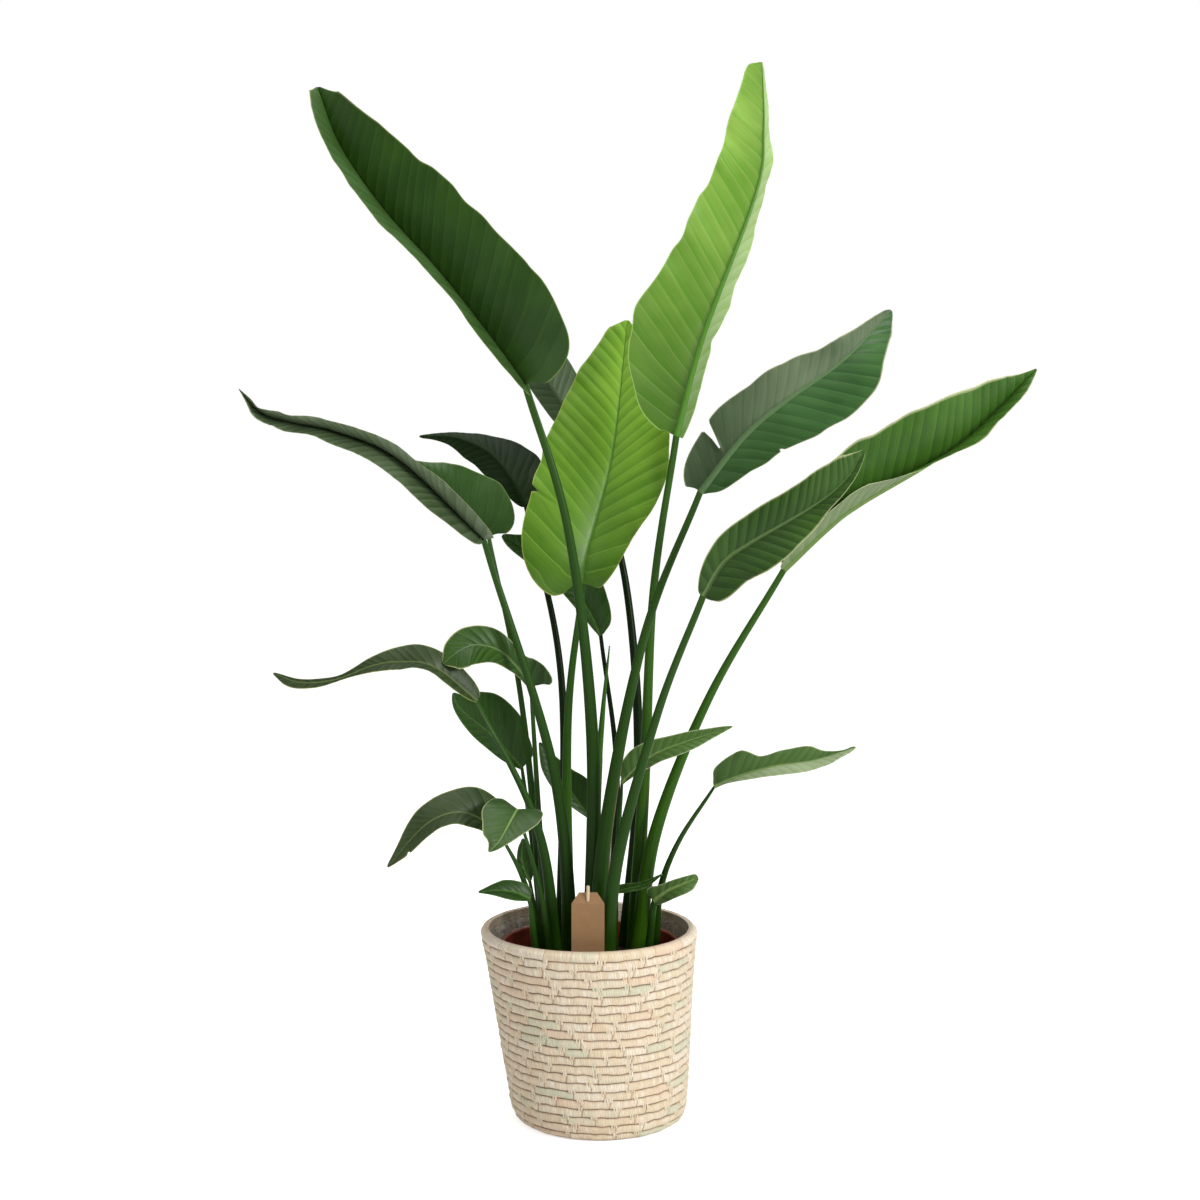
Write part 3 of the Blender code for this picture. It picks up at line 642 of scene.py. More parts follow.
LEAVES: tuple[LeafPlan, ...] = (
    LeafPlan(
        "tall_left",
        foot=(-0.011, -0.021), bends=((-0.01, -0.048, 0.521), (-0.04, -0.077, 0.791)),
        rib=((-0.094, -0.095, 0.978), (-0.132, -0.105, 1.031), (-0.2, -0.115, 1.118),
             (-0.269, -0.12, 1.196), (-0.322, -0.115, 1.274), (-0.351, -0.098, 1.347)),
        face=((0, -1, 0), (0.05, -1, 0.05)), left_lift=(82, 81, 76, 64), right_lift=(14, 10, 12),
        left=(30, 50, 62, 68, 68, 60, 46, 28, 12),
        right=(36, 86, 94, 88, 82, 68, 46, 26, 10),
        sheath=12.5, neck=4.8,
        finish=DEEP_GREEN, stalk_finish=STALK_DARK, pleat=0.4, ripple=2.5, spacing=18,
    ),
    LeafPlan(
        "tall_right",
        foot=(0.046, 0.058), bends=((0.06, 0.037, 0.462), (0.07, -0.015, 0.709)),
        rib=((0.097, -0.08, 0.914), (0.129, -0.095, 1.037), (0.196, -0.08, 1.218),
             (0.206, -0.065, 1.298), (0.205, -0.043, 1.386)),
        face=((0, 1, 0),), left_lift=(66, 66, 66, 60), right_lift=(15, 10, 10),
        left=(24, 36, 38, 44, 42, 34, 22, 12, 8),
        right=(20, 66, 94, 78, 68, 60, 44, 27, 16),
        sheath=11, neck=4.3,
        finish=YOUNG_UNDER, stalk_finish=STALK_LIGHT, pleat=0.7, ripple=4, spacing=20,
    ),
    LeafPlan(
        "front_bright",
        foot=(-0.043, 0.03), bends=((-0.043, 0.014, 0.528),),
        rib=((-0.022, 0, 0.718), (-0.017, 0.005, 0.757), (0.017, 0.05, 0.889), (0.037, 0.115, 1.066)),
        face=((-0.1, -1, 0.35), (-0.1, -1, 0.45)), left_lift=(14, 8, 10), right_lift=(10, 12, 20),
        left=(40, 84, 94, 92, 82, 64, 42, 24, 10),
        right=(22, 44, 62, 78, 74, 60, 40, 22, 8),
        sheath=10, neck=4.2,
        finish=YOUNG_UPPER, stalk_finish=STALK_LIGHT, pleat=0.9, ripple=3, spacing=19,
        tears=(Tear(Half.LEFT, 0.22, 0.12, 0.01),),
    ),
    LeafPlan(
        "upper_right",
        foot=(-0.004, -0.048), bends=((0.008, -0.059, 0.405), (0.058, -0.068, 0.66)),
        rib=((0.129, -0.05, 0.841), (0.182, -0.07, 0.911), (0.233, -0.08, 0.956), (0.308, -0.085, 1.01),
             (0.369, -0.075, 1.073)),
        face=((0.15, 1, -0.15), (0.15, 1, -0.2)), left_lift=(14, 12, 20), right_lift=(20, 18, 20),
        left=(10, 26, 42, 52, 62, 56, 34, 19, 8),
        right=(26, 48, 54, 52, 46, 34, 23, 14, 7),
        sheath=13, neck=4.3,
        finish=GREY_UNDER, stalk_finish=STALK_DARK, pleat=0.7, ripple=4, spacing=17,
        tears=(Tear(Half.RIGHT, 0.17, 0.85, 0.016), Tear(Half.LEFT, 0.3, 0.12, 0.01)),
    ),
    LeafPlan(
        "right_far",
        foot=(0.05, 0.034), bends=((0.074, 0.024, 0.379), (0.144, 0.005, 0.565)),
        rib=((0.24, -0.02, 0.738), (0.298, -0.032, 0.795), (0.339, -0.036, 0.826),
             (0.463, -0.045, 0.903), (0.559, -0.052, 0.999)),
        face=((0, -1, 0.1),), left_lift=(22, 16, 20), right_lift=(110, 108, 75, 60),
        left=(12, 34, 62, 74, 72, 62, 39, 18, 6),
        right=(18, 40, 50, 50, 46, 40, 32, 20, 8),
        sheath=12, neck=4.2,
        finish=MID_GREEN, stalk_finish=STALK_LIGHT, pleat=0.4, ripple=2.5, spacing=17, margin=3.5,
    ),
    LeafPlan(
        "right_mid",
        foot=(0.006, -0.076), bends=((0.022, -0.094, 0.367), (0.074, -0.133, 0.57)),
        rib=((0.128, -0.16, 0.717), (0.152, -0.165, 0.758), (0.184, -0.17, 0.783), (0.26, -0.18, 0.829),
             (0.299, -0.185, 0.861), (0.323, -0.19, 0.899)),
        face=((0.1, -1, 0.25),), left_lift=(16, 14, 20), right_lift=(24, 20, 30),
        left=(10, 18, 28, 33, 35, 36, 30, 18, 7),
        right=(14, 32, 42, 46, 34, 20, 12, 8, 4),
        sheath=11, neck=4.2,
        finish=RIBBED_GREEN, stalk_finish=STALK_DARK, pleat=0.5, ripple=3, spacing=13, margin=2.2,
    ),
    LeafPlan(
        "left_long",
        foot=(-0.036, -0.014), bends=((-0.06, -0.034, 0.471),),
        rib=((-0.15, -0.05, 0.779), (-0.256, -0.075, 0.883), (-0.336, -0.085, 0.919),
             (-0.385, -0.085, 0.929), (-0.429, -0.08, 0.942), (-0.46, -0.07, 0.974)),
        face=((0, -1, 0.1),), left_lift=(60, 64, 68, 76), right_lift=(58, 74, 76, 62),
        left=(16, 32, 44, 48, 46, 40, 28, 14, 5),
        right=(22, 40, 46, 46, 44, 38, 28, 14, 4),
        sheath=11, neck=4.3,
        finish=GREY_GREEN, stalk_finish=STALK_DARK, pleat=0.4, ripple=1.5,
    ),
    LeafPlan(
        "left_back",
        foot=(-0.053, 0.052), bends=((-0.052, 0.072, 0.577),),
        rib=((-0.1, 0.1, 0.815), (-0.121, 0.115, 0.852), (-0.153, 0.135, 0.887), (-0.199, 0.15, 0.906),
             (-0.25, 0.16, 0.908)),
        face=((0.1, 0.9, -0.6),), left_lift=(30, 30, 20), right_lift=(20, 25, 20),
        left=(16, 42, 64, 56, 36, 18, 10, 6, 3),
        right=(8, 15, 22, 27, 26, 18, 10, 5, 3),
        sheath=8, neck=3.8,
        finish=BACK_SHADED, stalk_finish=STALK_SHADED, ripple=3,
    ),
    LeafPlan(
        "left_mid",
        foot=(-0.072, 0.031), bends=((-0.104, 0.022, 0.553),),
        rib=((-0.147, 0.02, 0.778), (-0.162, 0.03, 0.803), (-0.214, 0.06, 0.852),
             (-0.258, 0.075, 0.878)),
        face=((0.2, -1, 0.8),), left_lift=(14,), right_lift=(14,),
        left=(10, 24, 37, 42, 39, 30, 19, 11, 5),
        right=(16, 42, 52, 46, 37, 25, 14, 7, 3),
        sheath=6.5, neck=3.0,
        finish=SMALL_GREEN, ripple=5,
    ),
    LeafPlan(
        "back_top",
        foot=(0.035, 0.08), bends=((0.053, 0.092, 0.45), (0.038, 0.111, 0.69)),
        rib=((-0.008, 0.13, 0.89), (-0.062, 0.165, 0.968), (-0.1, 0.185, 1.026), (-0.132, 0.2, 1.089)),
        face=((0.3, 1, -0.4),), left_lift=(30,), right_lift=(20,),
        left=(10, 24, 36, 43, 45, 42, 32, 18, 8),
        right=(8, 16, 23, 27, 28, 25, 18, 10, 4),
        sheath=10, neck=4.2,
        finish=BACK_GREY, stalk_finish=STALK_SHADED,
    ),
    LeafPlan(
        "centre_back",
        foot=(0.01, 0.05), bends=((0.023, 0.064, 0.447),),
        rib=((0.001, 0.07, 0.641), (-0.014, 0.085, 0.672), (-0.041, 0.105, 0.707), (-0.082, 0.12, 0.74),
             (-0.135, 0.13, 0.773)),
        face=((-0.3, -1, 0.5), (-0.3, -1, 0.6)), left_lift=(25,), right_lift=(15,),
        left=(4, 9, 14, 17, 18, 17, 15, 11, 5),
        right=(10, 24, 35, 38, 34, 27, 19, 11, 5),
        sheath=7, neck=2.8,
        finish=SMALL_GREEN, stalk_finish=STALK_SHADED,
    ),
    LeafPlan(
        "low_left_long",
        foot=(-0.057, -0.036), bends=((-0.08, -0.051, 0.398),),
        rib=((-0.159, -0.06, 0.571), (-0.212, -0.078, 0.617), (-0.254, -0.085, 0.625),
             (-0.29, -0.09, 0.621), (-0.339, -0.09, 0.603), (-0.385, -0.085, 0.599),
             (-0.421, -0.075, 0.61)),
        face=((0.2, -0.9, 0.8), (-0.1, -0.8, 1), (0, -0.7, 1)),
        left_lift=(30, 35, 0, -45), right_lift=(10, 15, 40),
        left=(8, 18, 28, 31, 17, 4, 8, 9, 4),
        right=(12, 20, 24, 25, 14, 5, 5, 4, 2),
        sheath=10.5, neck=3.2,
        finish=OLIVE_GREEN, stalk_finish=STALK_DARK, pleat=0.4, ripple=1.5,
    ),
    LeafPlan(
        "mid_left_round",
        foot=(-0.069, 0), bends=((-0.078, 0, 0.349),),
        rib=((-0.091, 0, 0.58), (-0.108, -0.012, 0.608), (-0.133, -0.03, 0.634), (-0.162, -0.05, 0.643),
             (-0.183, -0.065, 0.636), (-0.202, -0.075, 0.621)),
        face=((0.2, -1, 0.4), (-0.2, -1, 0.7)), left_lift=(5,), right_lift=(5,),
        left=(4, 6, 10, 16, 24, 30, 26, 16, 7),
        right=(28, 31, 19, 19, 26, 25, 20, 12, 5),
        sheath=6.5, neck=2.8,
        finish=RIBBED_GREEN,
    ),
    LeafPlan(
        "left_small_dark",
        foot=(-0.076, 0.043), bends=((-0.09, 0.04, 0.35),),
        rib=((-0.105, 0.04, 0.465), (-0.141, 0.045, 0.505), (-0.186, 0.05, 0.543),
             (-0.198, 0.052, 0.566)),
        face=((0, -1, 0.3),), left_lift=(10,), right_lift=(10,),
        left=(4, 9, 15, 19, 19, 15, 10, 6, 3),
        right=(10, 27, 40, 46, 46, 36, 24, 13, 5),
        sheath=6, neck=2.6,
        finish=SMALL_GREEN, ripple=3,
    ),
    LeafPlan(
        "low_left",
        foot=(-0.066, -0.048), bends=((-0.098, -0.066, 0.332),),
        rib=((-0.13, -0.075, 0.401), (-0.146, -0.08, 0.415), (-0.173, -0.09, 0.43),
             (-0.201, -0.1, 0.429), (-0.23, -0.11, 0.412), (-0.272, -0.115, 0.364)),
        face=((0.3, -0.8, 1), (-0.3, -0.9, 0.7), (-0.6, -1, 0.2)), left_lift=(15,), right_lift=(10,),
        left=(10, 18, 23, 24, 22, 19, 14, 8, 3),
        right=(14, 36, 38, 30, 25, 18, 11, 6, 3),
        sheath=8, neck=2.4,
        finish=OLIVE_GREEN, stalk_finish=STALK_DARK, pleat=0.4, ripple=2,
        tears=(Tear(Half.LEFT, 0.8, 0.3, 0.02),),
    ),
    LeafPlan(
        "low_left_front",
        foot=(-0.06, -0.065), bends=((-0.078, -0.073, 0.324),),
        rib=((-0.106, -0.09, 0.435), (-0.111, -0.115, 0.43), (-0.127, -0.15, 0.406),
             (-0.14, -0.16, 0.394)),
        face=((0.1, -0.8, 0.8), (0.1, -1, 0.5)), left_lift=(10,), right_lift=(10,),
        left=(20, 34, 36, 30, 22, 15, 9, 5, 2),
        right=(20, 34, 38, 38, 32, 24, 15, 8, 3),
        sheath=6, neck=2.2,
        finish=SOFT_GREEN,
    ),
    LeafPlan(
        "low_left_pale",
        foot=(-0.077, 0.014), bends=((-0.087, 0.012, 0.277),),
        rib=((-0.094, 0.012, 0.317), (-0.101, 0.015, 0.331), (-0.105, 0.018, 0.351),
             (-0.103, 0.018, 0.374)),
        face=((0, -1, 0.2),), left_lift=(5,), right_lift=(5,),
        left=(2, 3, 5, 6, 7, 6, 5, 3, 2),
        right=(4, 8, 12, 14, 14, 12, 8, 4, 2),
        sheath=4, neck=2.2,
    ),
    LeafPlan(
        "low_left_tiny",
        foot=(-0.081, -0.058), bends=((-0.087, -0.071, 0.268),),
        rib=((-0.09, -0.082, 0.315), (-0.11, -0.088, 0.325), (-0.133, -0.094, 0.329),
             (-0.157, -0.098, 0.328)),
        face=((0, -0.6, 1),), left_lift=(5,), right_lift=(30,),
        left=(3, 8, 13, 16, 15, 11, 7, 4, 2),
        right=(8, 14, 16, 16, 15, 11, 7, 4, 2),
        sheath=6, neck=3.4,
    ),
    LeafPlan(
        "low_right",
        foot=(0.074, 0.032), bends=((0.08, 0.012, 0.301), (0.103, -0.014, 0.374)),
        rib=((0.15, -0.03, 0.453), (0.183, -0.04, 0.469), (0.228, -0.05, 0.484), (0.28, -0.055, 0.493),
             (0.333, -0.055, 0.51)),
        face=((-0.1, -0.9, 0.8), (0.1, -0.9, 0.7)), left_lift=(20, 20, 25), right_lift=(15, 20, 25),
        left=(10, 25, 33, 18, 20, 19, 8, 2, 2),
        right=(2, 4, 9, 14, 19, 18, 14, 9, 4),
        sheath=7, neck=2.6,
        finish=HALF_LIT_LEAF, ripple=5,
    ),
    LeafPlan(
        "right_small",
        foot=(0.018, 0.02), bends=((0.022, 0.012, 0.337),),
        rib=((0.029, 0, 0.452), (0.053, -0.01, 0.478), (0.086, -0.02, 0.501), (0.174, -0.035, 0.534)),
        face=((0, -1, 0.7),), left_lift=(20, 20, 30), right_lift=(20, 20, 30),
        left=(5, 16, 23, 20, 15, 12, 8, 5, 2),
        right=(3, 6, 11, 16, 19, 18, 12, 7, 3),
        sheath=6, neck=2.6,
        finish=SUNLIT_GREEN,
    ),
    LeafPlan(
        "right_tiny",
        foot=(0.063, -0.014), bends=((0.067, -0.022, 0.255),),
        rib=((0.071, -0.03, 0.299), (0.089, -0.04, 0.316), (0.11, -0.05, 0.328),
             (0.129, -0.055, 0.337)),
        face=((-0.1, -1, 0.5),), left_lift=(10,), right_lift=(10,),
        left=(10, 18, 14, 11, 10, 9, 8, 7, 5),
        right=(5, 9, 12, 14, 15, 15, 13, 8, 4),
        sheath=6.5, neck=4.6,
        finish=SUNLIT_GREEN,
    ),
    LeafPlan(
        "right_dark_tiny",
        foot=(0.016, 0.002), bends=((0.02, 0.002, 0.271),),
        rib=((0.021, 0.002, 0.304), (0.04, -0.002, 0.311), (0.06, -0.006, 0.317),
             (0.084, -0.01, 0.332)),
        face=((0, -1, 0.6),), left_lift=(30,), right_lift=(30,),
        left=(4, 8, 8, 6, 5, 4, 3, 2, 1),
        right=(3, 5, 7, 8, 8, 6, 4, 2, 1),
        sheath=5, neck=2.4,
    ),
    LeafPlan(
        "back_small",
        foot=(0, 0.084), bends=((-0.003, 0.093, 0.322),),
        rib=((-0.011, 0.1, 0.382), (-0.034, 0.105, 0.413), (-0.059, 0.11, 0.45),
             (-0.084, 0.115, 0.488)),
        face=((0, -1, 0.3),), left_lift=(20,), right_lift=(15,),
        left=(3, 6, 12, 18, 22, 20, 14, 8, 3),
        right=(8, 20, 30, 28, 20, 13, 8, 5, 3),
        sheath=6, neck=2.6,
        finish=SMALL_GREEN,
    ),
)


class Leaf:
    """One leaf: a blade with its rib, and the stalk that carries it."""

    def __init__(self, plan: LeafPlan, number: int, soil_top: float) -> None:
        """Takes the plan of the leaf.

        Args:
            plan: Its shape and looks.
            number: Its place in the list, which seeds its irregularities.
            soil_top: Height of the soil that the stalk rises from.
        """
        self.plan = plan
        self.number = number
        self.stalk_points = ((*plan.foot, soil_top), *plan.bends, plan.rib[0])
        self.length = length_of(plan.rib)

    def frame(self, shares: Array) -> tuple[Array, Array, Array]:
        """Finds the directions of the blade at shares of its rib.

        Args:
            shares: Shares of the rib's length.

        Returns:
            The direction along the rib, the upper side's and the right-hand one.
        """
        forward = heading(self.plan.rib, shares, 1e-3)
        facing = spread(self.plan.face, shares)
        up = unit(facing - (facing * forward).sum(-1, keepdims=True) * forward)
        return forward, up, np.cross(forward, up)

    def rib_radius(self, shares: Array) -> Array:
        """Returns the rib's radius at shares of its length, in metres."""
        return (0.95 * self.plan.neck * (1 - shares) ** 0.85 + 0.3) * MM

    def half_width(self, half: Half, shares: Array) -> Array:
        """Returns the width of one half at shares of the rib, in metres, its tears taken out."""
        widths = self.plan.right if half is Half.RIGHT else self.plan.left
        knots = np.concatenate([[BLADE_START], np.array(widths) * MM, [0.0]])
        steps = len(knots) - 1
        place = np.arccos(1 - 2 * np.clip(shares, 0, 1)) / np.pi * steps
        first = np.clip(place.astype(int), 0, steps - 1)
        ends = np.concatenate([[1.3 * knots[0] - 0.3 * knots[1]], knots, [-0.3 * knots[-2]]])
        width = cubic(ends[first], ends[first + 1], ends[first + 2], ends[first + 3], place - first)
        for tear in self.plan.tears:
            if tear.half is half:
                width = width * (1 - tear.depth * np.clip(1 - np.abs(shares - tear.share) / tear.width, 0, 1))
        return np.maximum(width, 0.4 * MM)

    def half_sheet(self, half: Half, shares: Array, columns: int) -> tuple[Array, Array, Array, Array, Array]:
        """Shapes the middle surface of one half.

        Args:
            half: Which half.
            shares: Shares of the rib, one for each row.
            columns: Number of columns between the rib's edge and the margin.

        Returns:
            The points, the outward normals, the shares of the width, a mask of the pale margin and the
            place on the rib where the vein through each point starts, in millimetres.
        """
        plan, seed = self.plan, (self.number, half.value + 1)
        forward, up, right = self.frame(shares)
        lift = np.radians(spread(plan.right_lift if half is Half.RIGHT else plan.left_lift, shares))[:, None]
        out = half.value * np.cos(lift) * right + np.sin(lift) * up
        lifted = np.cos(lift) * up - half.value * np.sin(lift) * right
        scallop = 1 + 0.035 * drift(shares * self.length / MM, 24.0, *seed, 5) * smooth(shares, 0.02, 0.12)
        width = (self.half_width(half, shares) * scallop)[:, None]
        radius = self.rib_radius(shares)[:, None]
        near = np.minimum(2.0 * radius, 0.45 * width) * np.array([0, 0.25, 0.5, 0.75, 1.0])
        rest = np.linspace(0, 1, columns + 1)[1:]
        far = near[:, -1:] + (width - near[:, -1:]) * rest
        band = np.minimum(plan.margin * MM, 0.3 * (width - near[:, -1:]))
        x = np.concatenate([near, far[:, :-1], width - band, width], axis=1)
        x = np.sort(x, axis=1)
        u = x / width
        slant = np.interp(shares, VEIN_PLACES, VEIN_SLANT)[:, None]
        sweep = np.tan(np.radians(slant)) * np.clip((width - BLADE_START) / SLANT_IN, 0, 1)
        along_mm = shares * self.length / MM
        slope = np.interp(shares, SLOPE_PLACES, VEIN_SLOPE)[:, None]
        bend = 4 * MM * (1 - np.exp(-x / (5 * MM))) * smooth(shares, 0, 0.2)[:, None]
        vein = along_mm[:, None] + (u * x * sweep - slope * x - bend) / MM + VEIN_ORIGIN
        vein = vein + 0.3 * plan.spacing * drift(vein, 2.2 * plan.spacing, *seed, 4)
        crease = np.abs(2 * ((vein / plan.spacing) % 1) - 1)
        crossing = 0.6 - crease**1.5 + 0.35 * drift(vein, plan.spacing / 1.7, *seed, 1)
        pleat = 1.3 * plan.pleat * MM * crossing * u**0.7 * (1 - 0.6 * u**4)
        wave = drift(along_mm, 40.0, *seed, 2) + 0.3 * drift(along_mm, 17.0, *seed, 3)
        ripple = plan.ripple * MM * wave[:, None] * u**2.6 * np.clip(width / (30 * MM), 0, 1)
        groove = -RIB_GROOVE * radius * bell(x, 0.9 * radius)
        raised = DOMING * 4 * u * (1 - u) * width + pleat + ripple
        blend = smooth(x / np.maximum(near[:, -1:], 1e-6), 0, 1.2)[..., None]
        normal = unit((1 - blend) * up[:, None] + blend * lifted[:, None])
        points = (
            along(plan.rib, shares)[:, None]
            + x[..., None] * out[:, None]
            + (u * x * sweep)[..., None] * forward[:, None]
            + raised[..., None] * lifted[:, None]
            + groove[..., None] * up[:, None]
        )
        margin = np.zeros_like(u)
        margin[:, -1] = 1.0
        return points, normal, u * half.value, margin, vein

    def build_blade(self) -> bpy.types.Object:
        """Builds the blade, with its rib on the under side, and dresses it."""
        rows = max(24, int(self.length / ROW_STEP))
        t = np.linspace(0, 1, rows)
        shares = 0.55 * t + 0.45 * (1 - np.cos(np.pi * t)) / 2
        shares[-1] = 0.996
        columns = int(np.clip(max(*self.plan.left, *self.plan.right) / 5.5, 5, 15))
        left = [part[:, :0:-1] for part in self.half_sheet(Half.LEFT, shares, columns)]
        right = self.half_sheet(Half.RIGHT, shares, columns)
        points, normal, across, margin, vein = (np.concatenate(pair, axis=1) for pair in zip(left, right))
        thick = BLADE_THICK * (1 - 0.5 * np.abs(across))[..., None]
        top, bottom = points + normal * thick / 2, points - normal * thick / 2
        height, wide = across.shape
        sheet = height * wide
        from_rib = np.linalg.norm(points - along(self.plan.rib, shares)[:, None], axis=-1)
        rib = 1 - smooth(from_rib / self.rib_radius(shares)[:, None], 0.35, 0.8)
        rib_points, rib_faces = self.rib_tube(2 * sheet)
        count = len(rib_points)
        # For each layer, its values on the sheet and its one value on the rib below it.
        values = {
            "share": (np.repeat(shares[:, None], wide, 1), 1.0),
            "vein_mm": (vein, 0.0),
            "pleat": (vein / self.plan.spacing, 0.5),
            "across": (across, 0.0),
            "margin": (margin, 0.0),
            "rib": (rib, 1.0),
        }
        layers = {
            layer: np.concatenate([on_sheet.ravel(), on_sheet.ravel(), np.full(count, on_rib)])
            for layer, (on_sheet, on_rib) in values.items()
        }
        layers["under_side"] = np.concatenate([np.zeros(sheet), np.ones(sheet + count)])
        sheets = [grid_faces(height, wide), grid_faces(height, wide, start=sheet), rim_faces(height, wide)]
        every = np.concatenate([top.reshape(-1, 3), bottom.reshape(-1, 3), rib_points])
        faces = [*np.concatenate(sheets).tolist(), *rib_faces]
        piece = add_piece(f"blade_{self.plan.name}", every, faces, layers, self.plan.finish.material())
        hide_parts(f"leaf_{self.plan.name}")
        return piece

    def rib_tube(self, start: int) -> tuple[Array, list[list[int]]]:
        """Shapes the rib that stands out below the blade.

        Args:
            start: Number of its first point.

        Returns:
            Its points and faces.
        """
        sides = 14
        rows = max(20, int(self.length / (4 * MM)))
        shares = np.linspace(0, 0.985, rows)
        _, up, right = self.frame(shares)
        turn = around(sides)
        radius = self.rib_radius(shares)[:, None]
        x = radius * np.cos(turn)
        flat = -RIB_GROOVE * radius * bell(x, 0.9 * radius) - 0.1 * MM
        y = np.where(np.sin(turn) < -1e-6, 0.85 * radius * np.sin(turn), np.minimum(flat, -0.1 * MM))
        middle = along(self.plan.rib, shares)[:, None]
        points = middle + x[..., None] * right[:, None] + y[..., None] * up[:, None]
        return points.reshape(-1, 3), tube_faces(rows, sides, start)

    def build_stalk(self) -> bpy.types.Object:
        """Builds the stalk: round at its neck, a flattened sheath at its foot, and dresses it."""
        sides, rows = 30, max(16, int(length_of(self.stalk_points) / (7 * MM)))
        shares = np.linspace(0, 1, rows)
        middle = along(self.stalk_points, shares)
        middle[:, 2] += GAP * (1 - shares)
        forward = heading(self.stalk_points, shares, 0.01)
        # Near the blade the stalk turns into the rib's own direction.
        start, after = along(self.plan.rib, (0, 0.01))
        turning = smooth(shares, 0.9, 1.0)[:, None]
        forward = unit((1 - turning) * forward + turning * unit(after - start))
        forward[0] = (0, 0, 1)
        top_up = self.frame(np.array([0.0]))[1][0]
        foot_up = np.array([0, 1.0 if top_up[1] >= 0 else -1.0, 0])
        share = smooth(shares, 0.3, 1.0)[:, None]
        up = unit((1 - share) * foot_up + share * top_up)
        up = unit(up - (up * forward).sum(-1, keepdims=True) * forward)
        right = np.cross(forward, up)
        turn = around(sides)
        swell = (1 - shares) ** STALK_SWELL
        wide = (self.plan.neck + (self.plan.sheath - self.plan.neck) * swell) * MM
        deep = wide * (STALK_FLATNESS + (1 - STALK_FLATNESS) * np.sqrt(shares))
        channel = smooth(shares, 0.75, 1.0)[:, None]
        x = wide[:, None] * np.cos(turn)
        y = deep[:, None] * np.where(np.sin(turn) > 0, np.sin(turn) * (1 - 0.8 * channel), np.sin(turn))
        apart = np.abs(angle_between(turn, math.radians(self.plan.seam)))
        seam = bell(apart, 0.13) * (1 - smooth(shares, 0.32, 0.5))[:, None]
        bulge = 1 + 0.05 * seam + 0.012 * drift(np.arange(sides), 2.0, self.number, 7)
        sideways, upwards = (x * bulge)[..., None], (y * bulge)[..., None]
        points = middle[:, None] + sideways * right[:, None] + upwards * up[:, None]
        layers = {
            "share": np.repeat(shares, sides),
            "turn": np.tile(np.abs(turn - np.pi) + 10 * self.number, rows),
            "seam": seam,
        }
        faces = tube_faces(rows, sides)
        piece = add_piece(
            f"petiole_{self.plan.name}", points, faces, layers, self.plan.stalk_finish.material()
        )
        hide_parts(f"stalk_{self.plan.name}")
        return piece


@dataclass(frozen=True)
class Spear:
    """The newest leaf, still rolled tight into a spear."""

    points: tuple[tuple[float, float, float], ...] = (
        (-0.009, 0.006, 0.210), (-0.007, 0.004, 0.330), (-0.003, 0.002, 0.450),
        (0.004, 0, 0.550), (0.0125, -0.002, 0.636),
    )
    radius: tuple[float, ...] = (0.0055, 0.0055, 0.0050, 0.0035, 0.0008)
    turns: float = 1.6  # how far the free edge winds round it
    lap: float = 0.16  # how far the free edge stands out, as a share of the radius
    sides: int = 28
    rows: int = 90

    def build(self) -> bpy.types.Object:
        """Builds the rolled leaf, with the edge of its roll winding up it, and dresses it."""
        shares = np.linspace(0, 1, self.rows)
        middle = along(self.points, shares)
        middle[:, 2] += GAP * (1 - shares)
        turn = around(self.sides)
        after = (turn - FULL_TURN * self.turns * shares[:, None]) % FULL_TURN
        radius = spread(self.radius, shares)[:, None] * (1.0 + self.lap * (1 - after / FULL_TURN))
        points = middle[:, None] + np.stack([radius * np.cos(turn), radius * np.sin(turn), 0 * radius], -1)
        layers = {
            "share": np.repeat(shares, self.sides),
            "turn": np.tile(turn, self.rows),
            "seam": 0.5 * bell(after - 0.1, 0.22),
        }
        finish = replace(STALK_LIGHT, name="rolled_leaf", seam="#2c4a1c")
        faces = tube_faces(self.rows, self.sides)
        piece = add_piece("rolled_new_leaf", points, faces, layers, finish.material())
        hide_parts("leaf_new_spear")
        return piece


